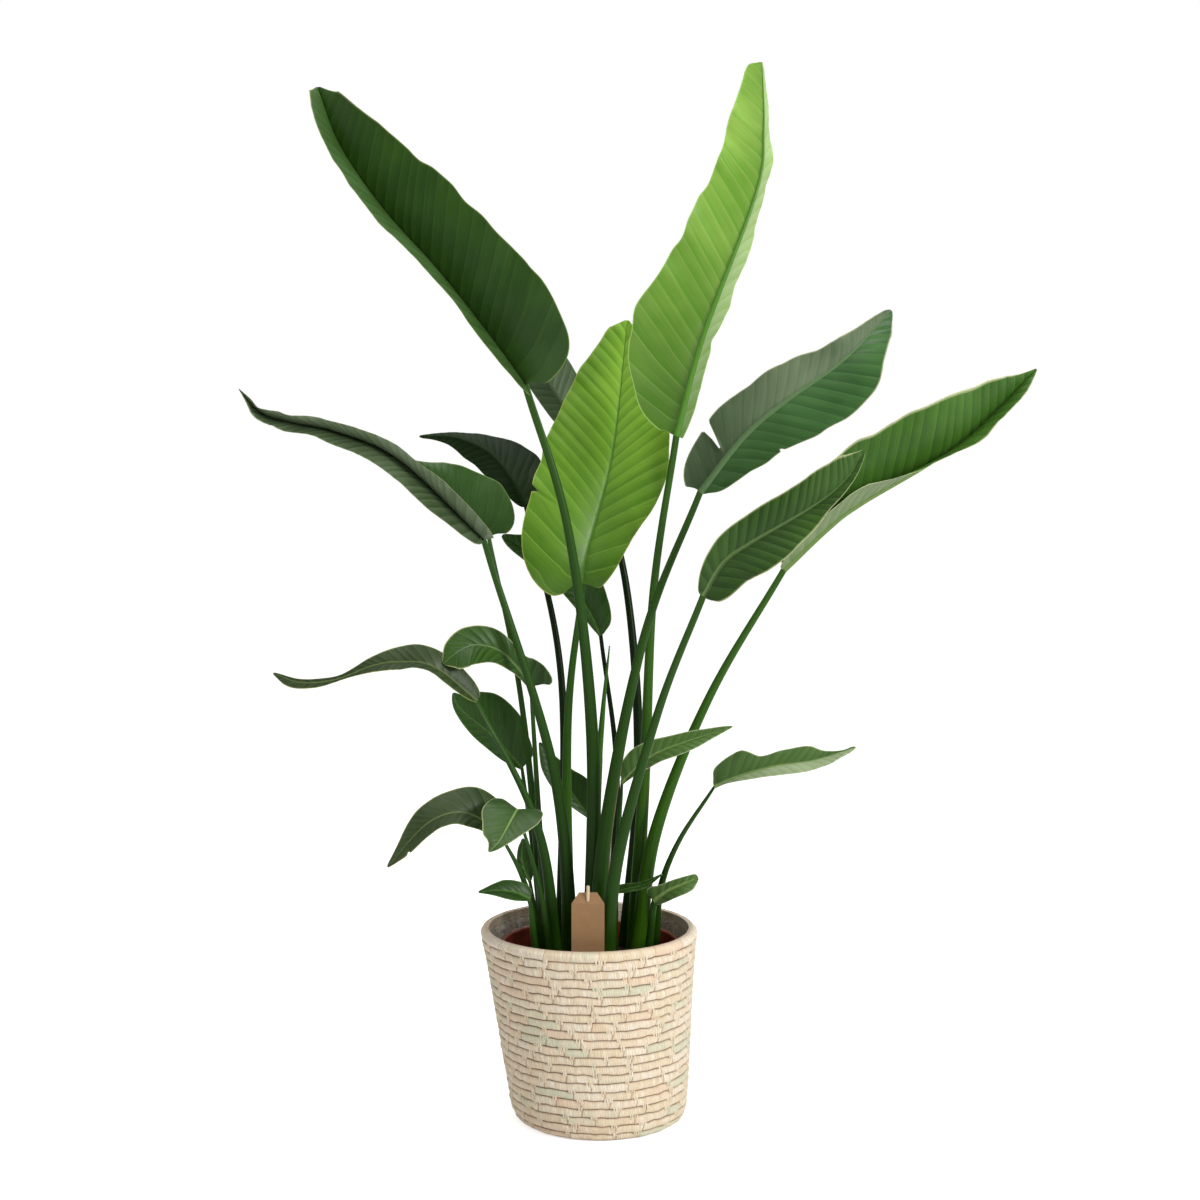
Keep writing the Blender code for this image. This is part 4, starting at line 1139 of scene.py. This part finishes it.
@dataclass(frozen=True)
class PalmLeafFinish:
    """Dried doum palm leaf, split into strips and wound dry round a core: matt, fibrous, uneven in colour."""

    name: str = "wound_palm_leaf"
    tints: tuple[str, ...] = ("#f4e4c6", "#faf0d8", "#eedcbc", "#fcf3e0", "#f4e0c4", "#faecd2", "#f0e2c6")
    # The colour of the painted shade in the grooves and the gaps between strips.
    groove: str = "#7a4420"
    mint: str = "#cddcc2"  # a few lengths of leaf dried greener
    blush: str = "#f2cfb4"  # and a few redder
    fibre: str = "#d4b88e"
    strip_mm: float = 3.4
    skew: float = 0.12  # how far the strips lean from upright

    def material(self) -> bpy.types.Material:
        """Builds the palm leaf material: a tint for each wrapped strip, fibres along it, painted shade in the
        grooves.
        """
        # Dry leaf has no shine of its own, only a faint sheen from its fibres.
        made, shader, add = new_material(self.name, 0.82, Specular_IOR_Level=0.3, Sheen_Weight=0.15)
        names = ("around_mm", "up_mm", "brick", "groove")
        side, up, brick, groove = (add("Attribute", output="Fac", attribute_name=name) for name in names)
        skew = add("Math", {0: up, 1: self.skew, 2: side}, operation="MULTIPLY_ADD")
        place = add("Math", {0: skew, 1: self.strip_mm}, operation="DIVIDE")
        strips = {"W": place, "Scale": 1.0}
        strip = add("TexVoronoi", strips, output="Color", voronoi_dimensions="1D")
        apart = add("TexVoronoi", strips, voronoi_dimensions="1D", feature="DISTANCE_TO_EDGE")
        length = add("Math", {0: brick, 1: 0.7}, operation="MULTIPLY")
        picked = add("Math", {0: strip, 1: 0.3, 2: length}, operation="MULTIPLY_ADD")
        tint = add("ValToRGB", {0: picked})
        stops = tint.node.color_ramp.elements
        while len(stops) < len(self.tints):
            stops.new(0.5)
        for number, (stop, colour) in enumerate(zip(stops, self.tints)):
            stop.position = number / (len(self.tints) - 1)
            stop.color = linear(colour)
        # Fibres are about 0.3 mm apart, too fine to show: they are drawn 0.8 mm apart.
        sideways = add("Math", {0: skew, 1: 1.25}, operation="MULTIPLY")
        upwards = add("Math", {0: up, 1: 0.12}, operation="MULTIPLY")
        line = add("CombineXYZ", {0: sideways, 1: upwards})
        fibres = add("TexNoise", {"Vector": line, "Scale": 1.0, "Detail": 3.0})
        share = add("MapRange", {0: fibres, 1: 0.42, 2: 0.72, 3: 0.0, 4: 0.6})
        cloud = add("TexNoise", {"Vector": add("TexCoord", output="Object"), "Scale": 60.0})
        low = add("Math", {0: brick, 1: 0.25}, operation="SUBTRACT")
        patchy = add("Math", {0: cloud, 1: 0.5, 2: low}, operation="MULTIPLY_ADD")
        green = add("MapRange", {0: patchy, 1: 0.8, 2: 0.98, 3: 0.0, 4: 0.6})
        red = add("MapRange", {0: patchy, 1: 0.22, 2: 0.05, 3: 0.0, 4: 0.5})
        # Painted shade: darker in the gaps between strips and wherever the groove layer marks shade.
        gap = add("MapRange", {0: apart, 1: 0.0, 2: 0.09, 3: 0.34, 4: 0.0})
        dark = add("Math", {0: gap, 1: groove}, operation="MAXIMUM")
        skin = tint
        over = ((green, self.mint), (red, self.blush), (share, self.fibre), (dark, self.groove))
        for weight, colour in over:
            skin = add("Mix", {0: weight, 6: skin, 7: colour}, **COLOURS)
        rounded = add("MapRange", {0: apart, 1: 0.0, 2: 0.2})
        height = add("Math", {0: fibres, 1: 0.35, 2: rounded}, operation="MULTIPLY_ADD")
        bump = add("Bump", {"Height": height, "Strength": 0.5, "Distance": 0.5 * MM})
        connect(shader, Base_Color=skin, Normal=bump)
        return made


@dataclass
class Basket:
    """The basket: coils of palm leaf stacked from the floor up, each stitched to the one below."""

    rings: Array  # height, shift and outer radius, read off the solid
    wall: float = 0.0095
    coils: int = 22
    rim_coil: float = 0.0135
    around: int = 900  # points round each coil
    arc_radius: float = 0.137  # distances round the wall are measured at this radius
    strap_gap: float = 3.5 * MM  # between the straps of one group
    bulge: float = 1.9 * MM
    finish: PalmLeafFinish = PalmLeafFinish()

    def outside(self, heights: Any) -> tuple[Array, Array]:
        """Returns the shift and radius of the outer wall at some heights."""
        shift, radius = (np.interp(heights, self.rings[:, 0], self.rings[:, k]) for k in (1, 2))
        return shift, radius

    def seams(self) -> Array:
        """Returns the heights of the joints between coils, from the floor to the rim."""
        top = self.rings[-1, 0]
        return np.append(np.linspace(0, top - self.rim_coil, self.coils), top)

    def sway(self, joint: int, turn: Array) -> Array:
        """Returns how far a joint wanders up and down, with none at the floor and the rim."""
        if joint in (0, self.coils):
            return 0 * turn
        return 0.9 * MM * drift(turn * 180, 14, joint, 11)

    def bricks(self, coil: int) -> tuple[Array, Array]:
        """Divides one coil into stretches that were wound with one batch of leaf.

        Args:
            coil: Which coil.

        Returns:
            The angles where the stretches start, and a tint for each.
        """
        random = np.random.default_rng([SEED, 40, coil])
        starts, angle = [], random.uniform(0, 0.5)
        while angle < FULL_TURN - 0.25:
            starts.append(angle)
            angle += random.uniform(0.24, 0.56)
        return np.array(starts), random.uniform(0, 1, len(starts))

    def build_coil(self, coil: int, material: bpy.types.Material) -> bpy.types.Object:
        """Builds one coil as a closed ring.

        Args:
            coil: Its number from the floor up.
            material: The palm leaf.

        Returns:
            The coil.
        """
        low, high = self.seams()[coil : coil + 2]
        rim = coil == self.coils - 1
        turn = around(self.around)
        starts, tints = self.bricks(coil)
        # The outer side, from the joint below to the joint above.
        v = np.array([0.0, 0.05, 0.14, 0.3, 0.5, 0.7, 0.86, 0.95, 1.0])
        off_centre = np.abs(2 * v - 1)
        face = 1 - off_centre**2.6
        lean = 0 * v if rim else 0.55 * MM * (1 - v)
        out = -0.8 * MM - 1.1 * MM * off_centre**8 + self.bulge * face + lean
        heights = low + (high - low) * v
        z = heights + self.sway(coil, turn)[:, None] * (1 - v) + self.sway(coil + 1, turn)[:, None] * v
        shift, radius = self.outside(heights)
        slant = 0.02 * (v - 0.5)
        where = np.searchsorted(starts, turn[:, None] - slant) - 1
        near = np.abs(angle_between(turn[:, None, None] - slant[:, None], starts)).min(-1)
        step = 0.5 * MM * (tints[where] - 0.5)
        notch = 0.0 if rim else -1.5 * MM * bell(near, 0.008)
        uneven = 0.35 * MM * drift(turn * 200, 3.2, coil, 12)[:, None] * face
        uneven = uneven + 0.5 * MM * drift(turn * 100, 9, coil, 13)[:, None]
        outer = radius + out + step * face + notch * face + uneven
        # The inner side, from the joint above to the joint below.
        inner_v = np.array([0.94, 0.7, 0.4, 0.06])
        inner_z = low + (high - low) * inner_v
        inner_shift, inner_radius = self.outside(inner_z)
        inner = inner_radius - self.wall + 0.25 * MM + 0.7 * MM * np.abs(2 * inner_v - 1) ** 3
        r = np.concatenate([outer, np.repeat(inner[None], self.around, 0)], axis=1)
        z = np.concatenate([z, np.repeat(inner_z[None], self.around, 0)], axis=1)
        if rim:
            # The rim's coil is rounded over to the inside.
            z[:, 6:9] = [[high - 3.2 * MM, high - 1.3 * MM, high - 0.2 * MM]]
            r[:, 6] -= 0.2 * MM
            r[:, 7] -= 0.4 * MM
            r[:, 8] = (radius[8] + out[8]) - 2.6 * MM
            z[:, 9] = high - 1.4 * MM
            r[:, 9] += 1.2 * MM
        z = np.maximum(z, 0.2 * MM)
        middle = np.concatenate([shift, inner_shift])
        points = np.stack([middle + r * np.cos(turn)[:, None], r * np.sin(turn)[:, None], z], -1)
        columns = points.shape[1]
        # One row of faces more, back to the first row of points.
        faces = grid_faces(self.around + 1, columns, wrap=True) % (self.around * columns)
        # Painted shade: darker at the joints above and below, beside the straps, and a little over all of the
        # inner side.
        groove = 0.95 * off_centre**8 + 0.6 * bell(near, 0.006)
        groove = np.concatenate([groove, np.full((self.around, len(inner_v)), 0.15)], axis=1)
        layers = {
            "around_mm": np.repeat(turn * self.arc_radius / MM + 1000 * coil, columns),
            "up_mm": z / MM,
            "brick": np.repeat(tints[where[:, 4]], columns),
            "groove": np.clip(groove, 0, 1) * (0.5 if rim else 1.0),
        }
        piece = add_piece(f"coil_{coil:02d}", points, faces.tolist(), layers, material)
        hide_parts("basket")
        return piece

    def strap(
        self, coil: int, centre: float, tint: float, random: np.random.Generator
    ) -> tuple[Array, dict[str, Array]]:
        """Shapes one strap over the joint above a coil.

        Args:
            coil: The coil below the joint.
            centre: Its place round the wall, in metres.
            tint: The tint of the stretch that it lies on.
            random: Where its irregularities are drawn from.

        Returns:
            Its points, and the values that its material reads.
        """
        low, high, above = self.seams()[coil : coil + 3]
        width = random.uniform(1.5, 2.3) * MM
        centre += random.uniform(-0.5, 0.5) * MM
        top = high + (above - high) * random.uniform(0.3, 0.7)
        bottom = high - (high - low) * random.uniform(0.3, 0.75)
        slant = random.uniform(-1.2, 1.2) * MM
        u = np.linspace(-1, 1, 7)
        v = np.linspace(0, 1, 9)[:, None]
        z = top + (bottom - top) * v + 0 * u
        end = np.clip(1 - (np.abs(v - 0.5) * 2) ** 5, 0.25, 1)
        sideways = centre + u * width * end + slant * (v - 0.5)
        lift = 1.0 * MM * (1 - 0.55 * u**2) * end + 0.35 * MM * bell(v - 0.55, 0.22)
        # Its outline is tucked under the coils' surface.
        lift = np.where((np.abs(u) > 0.99) | (v < 0.01) | (v > 0.99), -1.6 * MM, lift)
        shift, radius = self.outside(z)
        r = radius + 0.35 * MM + lift - 0.5 * MM * (1 - v)
        angle = sideways / self.arc_radius
        points = np.stack([shift + r * np.cos(angle), r * np.sin(angle), np.maximum(z, 0.3 * MM)], -1)
        # Painted shade: darker along the strap's sides and at its ends, where they dip under the coils.
        shade = 0.7 * np.abs(u) ** 5 + 0.95 * smooth(v, 0.78, 1.0) + 0.25 * (1 - smooth(v, 0.0, 0.15))
        layers = {
            "around_mm": sideways / MM + 77 * random.uniform(0, 9),
            "up_mm": z / MM,
            "brick": np.full(z.shape, np.clip(tint + random.uniform(-0.2, 0.2), 0, 1)),
            "groove": np.clip(shade, 0, 0.9),
        }
        return points, layers

    def build_stitches(self, material: bpy.types.Material) -> bpy.types.Object:
        """Builds the straps that tie each coil to the next, in groups of two to four."""
        straps = []
        random = np.random.default_rng([SEED, 41])
        for coil in range(self.coils - 1):
            for start, tint in zip(*self.bricks(coil)):
                fingers = random.integers(2, 5)
                for finger in range(fingers):
                    centre = start * self.arc_radius + (finger - fingers / 2) * self.strap_gap
                    straps.append(self.strap(coil, centre, tint, random))
        rows, columns, _ = straps[0][0].shape
        faces = [grid_faces(rows, columns, start=i * rows * columns) for i in range(len(straps))]
        points = np.concatenate([part.reshape(-1, 3) for part, _ in straps])
        layers = {key: np.concatenate([part[key].ravel() for _, part in straps]) for key in straps[0][1]}
        piece = add_piece("stitches", points, np.concatenate(faces).tolist(), layers, material)
        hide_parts("basket")
        return piece

    def build_floor(self, material: bpy.types.Material) -> bpy.types.Object:
        """Builds the basket's floor, a flat spiral of the same coil."""
        shift, radius = self.outside(0.004)
        across = np.linspace(0.001, radius - 0.006, 120)
        ridge = np.abs(np.sin(np.pi * across / 0.0115))
        top = [(shift, r, 0.0072 + 1.3 * MM * h) for r, h in zip(across, ridge)]
        bottom = [(shift, r, 0.0014 - 1.2 * MM * h) for r, h in zip(across, ridge)]
        profile = np.array([*top, *bottom[::-1]])
        sides = 300
        layers = {
            "around_mm": np.outer(profile[:, 1], around(sides)) / MM,
            "up_mm": np.repeat(profile[:, 1] / MM, sides),
            "brick": np.tile(0.5 + 0.5 * drift(around(sides) * 100, 20, 14), len(profile)),
            # Painted shade in the hollows between the floor's ridges.
            "groove": np.repeat(0.75 * (1 - np.concatenate([ridge, ridge[::-1]])) ** 3, sides),
        }
        faces = tube_faces(len(profile), sides)
        piece = add_piece("basket_floor", turned(profile, sides), faces, layers, material)
        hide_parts("basket")
        return piece

    def build(self) -> None:
        """Builds all of the basket."""
        material = self.finish.material()
        for coil in range(self.coils):
            self.build_coil(coil, material)
        self.build_stitches(material)
        self.build_floor(material)


@dataclass(frozen=True)
class FilmFinish:
    """Clear polythene film, blown thin and handled: glossy, creased, a little grey where it doubles up."""

    name: str = "creased_polythene"

    def material(self) -> bpy.types.Material:
        """Builds the film: mostly see-through, with sharp glints on its creases, partly painted as pale
        opaque crease tops.
        """
        # Blown film is glass-smooth, so each crease gives a small sharp glint.
        made, shader, add = new_material(self.name, 0.16, IOR=1.5, Coat_Weight=0.6, Coat_Roughness=0.08)
        place = add("TexCoord", output="Object")
        # Creases from handling lie 5 to 20 mm apart.
        creases_and_glints = add("TexNoise", {"Vector": place, "Scale": 70.0, "Detail": 3.0, "Distortion": 1.2})
        # Painted highlight: the crease tops are pale and more opaque, for white glints.
        skin = add("Mix", {0: creases_and_glints, 6: "#a8a494", 7: "#ecebe2"}, **COLOURS)
        alpha = add("MapRange", {0: creases_and_glints, 1: 0.35, 2: 0.65, 3: 0.2, 4: 0.8})
        bump = add("Bump", {"Height": creases_and_glints, "Strength": 1.0, "Distance": 4.0 * MM})
        connect(shader, Base_Color=skin, Alpha=alpha, Normal=bump)
        return made


@dataclass(frozen=True)
class PotFinish:
    """Terracotta-coloured polypropylene, moulded thin: satin, with faint flow marks and dust."""

    name: str = "moulded_polypropylene"

    def material(self) -> bpy.types.Material:
        """Builds the pot's plastic: an even red-brown with soft scuffs."""
        # A moulded satin skin gives one broad light, duller where it is scuffed or dusty.
        made, shader, add = new_material(self.name, 0.42, IOR=1.49)
        scuffs = add("TexNoise", {"Vector": add("TexCoord", output="Object"), "Scale": 60.0, "Detail": 4.0})
        share = add("MapRange", {0: scuffs, 1: 0.4, 2: 0.7})
        skin = add("Mix", {0: share, 6: "#7a2a17", 7: "#98402a"}, **COLOURS)
        rough = add("MapRange", {0: scuffs, 3: 0.34, 4: 0.52})
        bump = add("Bump", {"Height": scuffs, "Strength": 0.1, "Distance": 0.3 * MM})
        connect(shader, Base_Color=skin, Roughness=rough, Normal=bump)
        return made


@dataclass(frozen=True)
class SoilFinish:
    """Damp potting soil of peat and bark crumbs: almost black, matt, with a few pale fibres."""

    name: str = "damp_potting_soil"

    def material(self) -> bpy.types.Material:
        """Builds the soil: dark crumbs of 1 to 4 mm."""
        # Damp peat drinks the light, and only the crumbs' edges and a few fibres stand out.
        made, shader, add = new_material(self.name, 0.88, Specular_IOR_Level=0.35)
        place = add("TexCoord", output="Object")
        crumbs = add("TexVoronoi", {"Vector": place, "Scale": 420.0}, output="Color")
        cloud = add("TexNoise", {"Vector": place, "Scale": 900.0, "Detail": 2.0})
        skin = add("Mix", {0: crumbs, 6: "#17110b", 7: "#3a2b1c"}, **COLOURS)
        pale = add("MapRange", {0: cloud, 1: 0.66, 2: 0.74})
        skin = add("Mix", {0: pale, 6: skin, 7: "#6d5337"}, **COLOURS)
        rounded = crumbs.node.outputs["Distance"]
        bump = add("Bump", {"Height": rounded, "Strength": 1.0, "Distance": 1.5 * MM})
        connect(shader, Base_Color=skin, Normal=bump)
        return made


@dataclass(frozen=True)
class KraftFinish:
    """Recycled kraft board, die-cut: matt brown, flecked with darker and lighter fibres."""

    name: str = "die_cut_kraft_board"

    def material(self) -> bpy.types.Material:
        """Builds the board: short fibres lying every way over an even brown."""
        # Uncoated board has no light of its own, only flecks that show from close by.
        made, shader, add = new_material(self.name, 0.9, Specular_IOR_Level=0.25)
        place = add("TexCoord", output="Object")
        # Kraft fibres are about 1 mm long and 0.03 mm thick: they are drawn 0.6 mm thick.
        flecks = add("TexNoise", {"Vector": place, "Scale": 1400.0, "Detail": 2.0})
        cloud = add("TexNoise", {"Vector": place, "Scale": 90.0, "Detail": 3.0})
        skin = add("Mix", {0: cloud, 6: "#92704e", 7: "#a17e5a"}, **COLOURS)
        dark = add("MapRange", {0: flecks, 1: 0.6, 2: 0.72, 3: 0.0, 4: 0.55})
        skin = add("Mix", {0: dark, 6: skin, 7: "#6f5235"}, **COLOURS)
        bump = add("Bump", {"Height": flecks, "Strength": 0.15, "Distance": 0.2 * MM})
        connect(shader, Base_Color=skin, Normal=bump)
        return made


@dataclass(frozen=True)
class BirchFinish:
    """Birch, turned and left bare: pale cream with a fine straight grain."""

    name: str = "turned_bare_birch"

    def material(self) -> bpy.types.Material:
        """Builds the wood: grain lines along the stake."""
        # Bare turned birch is silky: a soft light that the grain breaks into thin lines.
        made, shader, add = new_material(self.name, 0.62, Specular_IOR_Level=0.4)
        place = add("TexCoord", output="Object")
        stretched = add("Mapping", {"Vector": place, "Scale": (1.0, 1.0, 0.06)})
        # Birch grain is under 0.5 mm: it is drawn 0.8 mm apart.
        grain = add("TexNoise", {"Vector": stretched, "Scale": 1200.0, "Detail": 2.0})
        skin = add("Mix", {0: grain, 6: "#c9ac80", 7: "#ecdcbc"}, **COLOURS)
        bump = add("Bump", {"Height": grain, "Strength": 0.15, "Distance": 0.2 * MM})
        connect(shader, Base_Color=skin, Normal=bump)
        return made


@dataclass
class Liner:
    """The thin film that lines the basket, a little shorter than its wall."""

    rings: Array  # of the liner's solid
    sides: int = 420
    rows: int = 110
    folds: int = 26
    crease: float = 0.55 * MM

    def build(self) -> bpy.types.Object:
        """Builds the film with its creases and uneven top edge."""
        heights = np.linspace(self.rings[0, 0], self.rings[-1, 0], self.rows)
        shift, radius = (np.interp(heights, self.rings[:, 0], self.rings[:, k]) for k in (1, 2))
        turn = around(self.sides)
        random = np.random.default_rng([SEED, 50])
        fold = np.zeros((self.rows, self.sides))
        for _ in range(self.folds):
            slope = random.uniform(-9, 9)
            place = random.uniform(0, FULL_TURN)
            wide = random.uniform(0.02, 0.07)
            line = angle_between(turn - place, slope * (heights[:, None] - 0.2))
            fold += random.uniform(-1, 1) * bell(line, wide)
        radius = radius[:, None] - 0.9 * MM + self.crease * np.clip(fold, -1.2, 1.0)
        edge = 1.6 * MM * drift(turn * 100, 18, 51)
        high = heights[:, None] + (edge - 2 * MM) * smooth(heights, 0.2, heights[-1])[:, None]
        points = np.stack([shift[:, None] + radius * np.cos(turn), radius * np.sin(turn), high], -1)
        faces = grid_faces(self.rows, self.sides, wrap=True).tolist()
        faces.append(list(range(self.sides)))
        piece = add_piece("liner_film", points, faces, {}, FilmFinish().material())
        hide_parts("liner")
        return piece


@dataclass
class Pot:
    """The grower's pot: a thin tapered wall with a turned-down lip."""

    rings: Array
    wall: float = 1.2 * MM
    sides: int = 200

    def build(self) -> bpy.types.Object:
        """Builds the pot with its rolled lip and a step below it."""
        low, shift, base = self.rings[0, 0], self.rings[-1, 1], self.rings[0, 2]
        high, top = self.rings[-1, 0], self.rings[-1, 2]
        body = top - 2.5 * MM
        # How far the lip's points lie inside its radius and below its top, in mm, from outside to inside.
        lip = (
            (0.6, 11), (0.1, 10), (0, 3), (0.3, 0.8), (1.1, 0.1), (2.4, 0), (3.6, 0.3), (4.1, 1.4), (4.3, 5),
        )
        outline = [
            (base - 4 * MM, low), (base - 1 * MM, low + 0.6 * MM), (base, low + 3 * MM),
            (body, high - 12 * MM),
            *((top - inside * MM, high - below * MM) for inside, below in lip),
            (body - 1.9 * MM, high - 13 * MM), (base - self.wall, low + 2 * MM),
            (base - 5 * MM, low + self.wall),
        ]
        points = turned(np.array([(shift, radius, height) for radius, height in outline]), self.sides)
        faces = tube_faces(len(outline), self.sides)
        piece = add_piece("growers_pot", points, faces, {}, PotFinish().material())
        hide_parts("nursery_pot")
        return piece


@dataclass
class Soil:
    """The soil: an uneven top with crumbs lying on it."""

    rings: Array
    rows: int = 90
    sides: int = 240
    crumbs: int = 900
    # Sizes of the lumps in mm, and how much each counts.
    lumps: tuple[tuple[float, float], ...] = ((22, 0.9), (11, 0.7), (5, 0.6), (3, 0.4))
    # A crumb is a rough ball with eight corners.
    corners: tuple[tuple[int, int, int], ...] = (
        (1, 1, 1), (1, -1, -1), (-1, 1, -1), (-1, -1, 1), (1, 0, 0), (-1, 0, 0), (0, 1, 0), (0, -1, 0),
    )
    hull: tuple[tuple[int, int, int], ...] = (
        (0, 4, 6), (0, 6, 3), (0, 3, 4), (1, 4, 7), (2, 6, 5), (3, 5, 7),
        (4, 3, 7), (1, 6, 4), (1, 2, 6), (2, 5, 1), (3, 6, 5), (1, 5, 7),
    )

    def build(self) -> bpy.types.Object:
        """Builds the soil and its crumbs as one piece."""
        shift, radius, top = self.rings[0, 1], self.rings[-2, 2], self.rings[-1, 0]
        share = np.sqrt(np.linspace(0.0001, 1, self.rows))
        x, y = (share[:, None] * radius * f(around(self.sides)) for f in (np.cos, np.sin))
        random = np.random.default_rng([SEED, 60])
        lump = np.zeros_like(x)
        for size, height in self.lumps:
            for _ in range(6):
                ax, ay = random.normal(0, 1 / size, 2)
                phase = random.uniform(0, 7)
                lump += height * np.sin(FULL_TURN * (ax * x + ay * y) / MM + phase) / 6
        z = top - 0.4 * MM + 1.5 * MM * lump * (1 - share[:, None] ** 8)
        low = turned(np.array([(shift, radius - 2 * MM, top - 0.03)]), self.sides)
        points = [np.stack([shift + x, y, z], -1).reshape(-1, 3), low.reshape(-1, 3)]
        # The lowest ring is one row more, below the top's outer edge.
        faces = tube_faces(self.rows + 1, self.sides)
        count = (self.rows + 1) * self.sides
        corners = unit(np.array(self.corners))
        for _ in range(self.crumbs):
            r, angle = radius * 0.97 * math.sqrt(random.uniform()), random.uniform(0, FULL_TURN)
            size = random.uniform(0.7, 2.6) * MM
            middle = np.array([shift + r * math.cos(angle), r * math.sin(angle), top + 0.35 * size])
            points.append(middle + size * corners * random.uniform(0.5, 1.1, (8, 1)) * (1, 1, 0.7))
            faces += [[count + corner for corner in face] for face in self.hull]
            count += len(corners)
        piece = add_piece("potting_soil", np.concatenate(points), faces, {}, SoilFinish().material())
        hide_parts("soil")
        return piece


@dataclass
class Label:
    """The blank plant label: a kraft card folded over a birch stake."""

    card: bpy.types.Object
    stake: bpy.types.Object
    sides: int = 36

    def build(self) -> None:
        """Dresses the card and builds the stake with its rounded top."""
        self.card.data.materials.clear()
        self.card.data.materials.append(KraftFinish().material())
        low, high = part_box("tag_stake")
        x, y, radius = (low.x + high.x) / 2, (low.y + high.y) / 2, (high.x - low.x) / 2
        outline = [(radius, low.z)]
        for s in np.linspace(0.05, 1, 24):
            # Turning leaves the stake a little uneven.
            outline.append((radius * (1 + 0.02 * math.sin(7 * s)), low.z + s * (high.z - low.z - 2 * MM)))
        for share, below in ((0.93, 1.1), (0.7, 0.4), (0.35, 0.08), (0.05, 0)):
            outline.append((share * radius, high.z - below * MM))
        points = turned(np.array([(x, r, z) for r, z in outline]), self.sides)
        points[..., 1] += y
        faces = tube_faces(len(outline), self.sides)
        piece = add_piece("birch_stake", points, faces, {}, BirchFinish().material())
        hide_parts(self.stake.name)


@dataclass(frozen=True)
class Studio:
    """A plain pale floor, soft lamps and the camera."""

    camera_at: tuple[float, float, float] = (0.0, -2.84, 0.98)
    pitch: float = 5.7  # degrees down
    lens: float = 65.04
    sensor: float = 36.0
    lamps_at: tuple[float, float, float] = (0, 0, 0.7)  # the point that the lamps face
    floor: float = 30.0  # radius
    floor_glow: float = 0.66  # keeps the far floor as pale as the near one, without lighting the plant

    def build(self) -> None:
        """Builds the floor, the lights, the world and the camera."""
        self.build_floor()
        self.build_lights()
        self.build_world()
        camera = bpy.data.objects.new("camera", bpy.data.cameras.new("camera"))
        camera.data.lens = self.lens
        camera.data.sensor_width = self.sensor
        camera.location = self.camera_at
        camera.rotation_euler = (math.radians(90 - self.pitch), 0.0, 0.0)
        bpy.context.scene.collection.objects.link(camera)
        bpy.context.scene.camera = camera
        bpy.context.scene.view_settings.view_transform = "Standard"

    def build_floor(self) -> None:
        """Builds the floor, a round sheet of white matt board."""
        mesh = bpy.data.meshes.new("floor")
        points = turned(np.array([(0.0, self.floor, 0.0)]), 96).reshape(-1, 3)
        mesh.from_pydata(points.tolist(), [], [list(range(len(points)))])
        # Matt board shows no light of its own, so that only the plant's soft shadow lies on it.
        made, shader, add = new_material(
            "white_matt_board", 0.9, Specular_IOR_Level=0.1, Emission_Color=linear("#ffffff")
        )
        cloud = add("TexNoise", {"Vector": add("TexCoord", output="Object"), "Scale": 3.0, "Detail": 2.0})
        skin = add("Mix", {0: cloud, 6: "#f4f4f4", 7: "#f8f8f8"}, **COLOURS)
        seen = add("LightPath", output="Is Camera Ray")
        glow = add("Math", {0: seen, 1: self.floor_glow}, operation="MULTIPLY")
        connect(shader, Base_Color=skin, Emission_Strength=glow)
        mesh.materials.append(made)
        floor = bpy.data.objects.new("floor", mesh)
        bpy.context.scene.collection.objects.link(floor)

    def build_lights(self) -> None:
        """Builds three softboxes: a key from the upper right, a weak fill from the left and one overhead."""
        boxes = (
            ("key", (2.4, -2.3, 1.7), 1.0, 70.0),
            ("fill", (-2.4, -1.5, 1.7), 1.6, 8.0),
            ("overhead", (0.2, 0.0, 3.0), 1.8, 36.0),
        )
        for name, place, size, power in boxes:
            lamp = bpy.data.lights.new(name, "AREA")
            lamp.shape = "SQUARE"
            lamp.size = size
            lamp.energy = power
            box = bpy.data.objects.new(name, lamp)
            box.location = place
            box.rotation_euler = (Vector(self.lamps_at) - Vector(place)).to_track_quat("-Z", "Y").to_euler()
            bpy.context.scene.collection.objects.link(box)

    def build_world(self) -> None:
        """Builds a white surround that lights the plant softly."""
        world = bpy.data.worlds.new("surround")
        world.use_nodes = True
        world.node_tree.nodes.clear()
        add = partial(add_node, world.node_tree)
        seen = add("LightPath", output="Is Camera Ray")
        way = add("SeparateXYZ", {0: add("TexCoord", output="Generated")}, output="Z")
        # Bright overhead and dim around, as under a large diffuser.
        glow = add("MapRange", {0: way, 1: 0.0, 2: 0.8, 3: 0.08, 4: 0.5})
        soft, white = (add("Background", {0: "#ffffff", 1: strength}) for strength in (glow, 1.0))
        add("OutputWorld", {0: add("MixShader", {0: seen, 1: soft, 2: white})})
        bpy.context.scene.world = world


def main() -> None:
    """Builds every sub-assembly in order."""
    logging.basicConfig(level=logging.INFO, format="%(message)s")
    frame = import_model()
    nodes = frame["nodes"]
    basket = Basket(rings_of(nodes["basket"]))
    basket.build()
    LOG.info("basket: %d coils", basket.coils)
    Liner(rings_of(nodes["liner"])).build()
    LOG.info("liner")
    Pot(rings_of(nodes["nursery_pot"])).build()
    LOG.info("pot")
    Soil(rings_of(nodes["soil"])).build()
    LOG.info("soil")
    Label(nodes["tag_card"], nodes["tag_stake"]).build()
    LOG.info("label")
    soil_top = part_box("soil")[1].z
    for number, plan in enumerate(LEAVES):
        leaf = Leaf(plan, number, soil_top)
        leaf.build_stalk()
        leaf.build_blade()
        LOG.info("leaf %s: %.0f mm", plan.name, leaf.length / MM)
    Spear().build()
    LOG.info("spear")
    Studio().build()


if __name__ == "__main__":
    main()
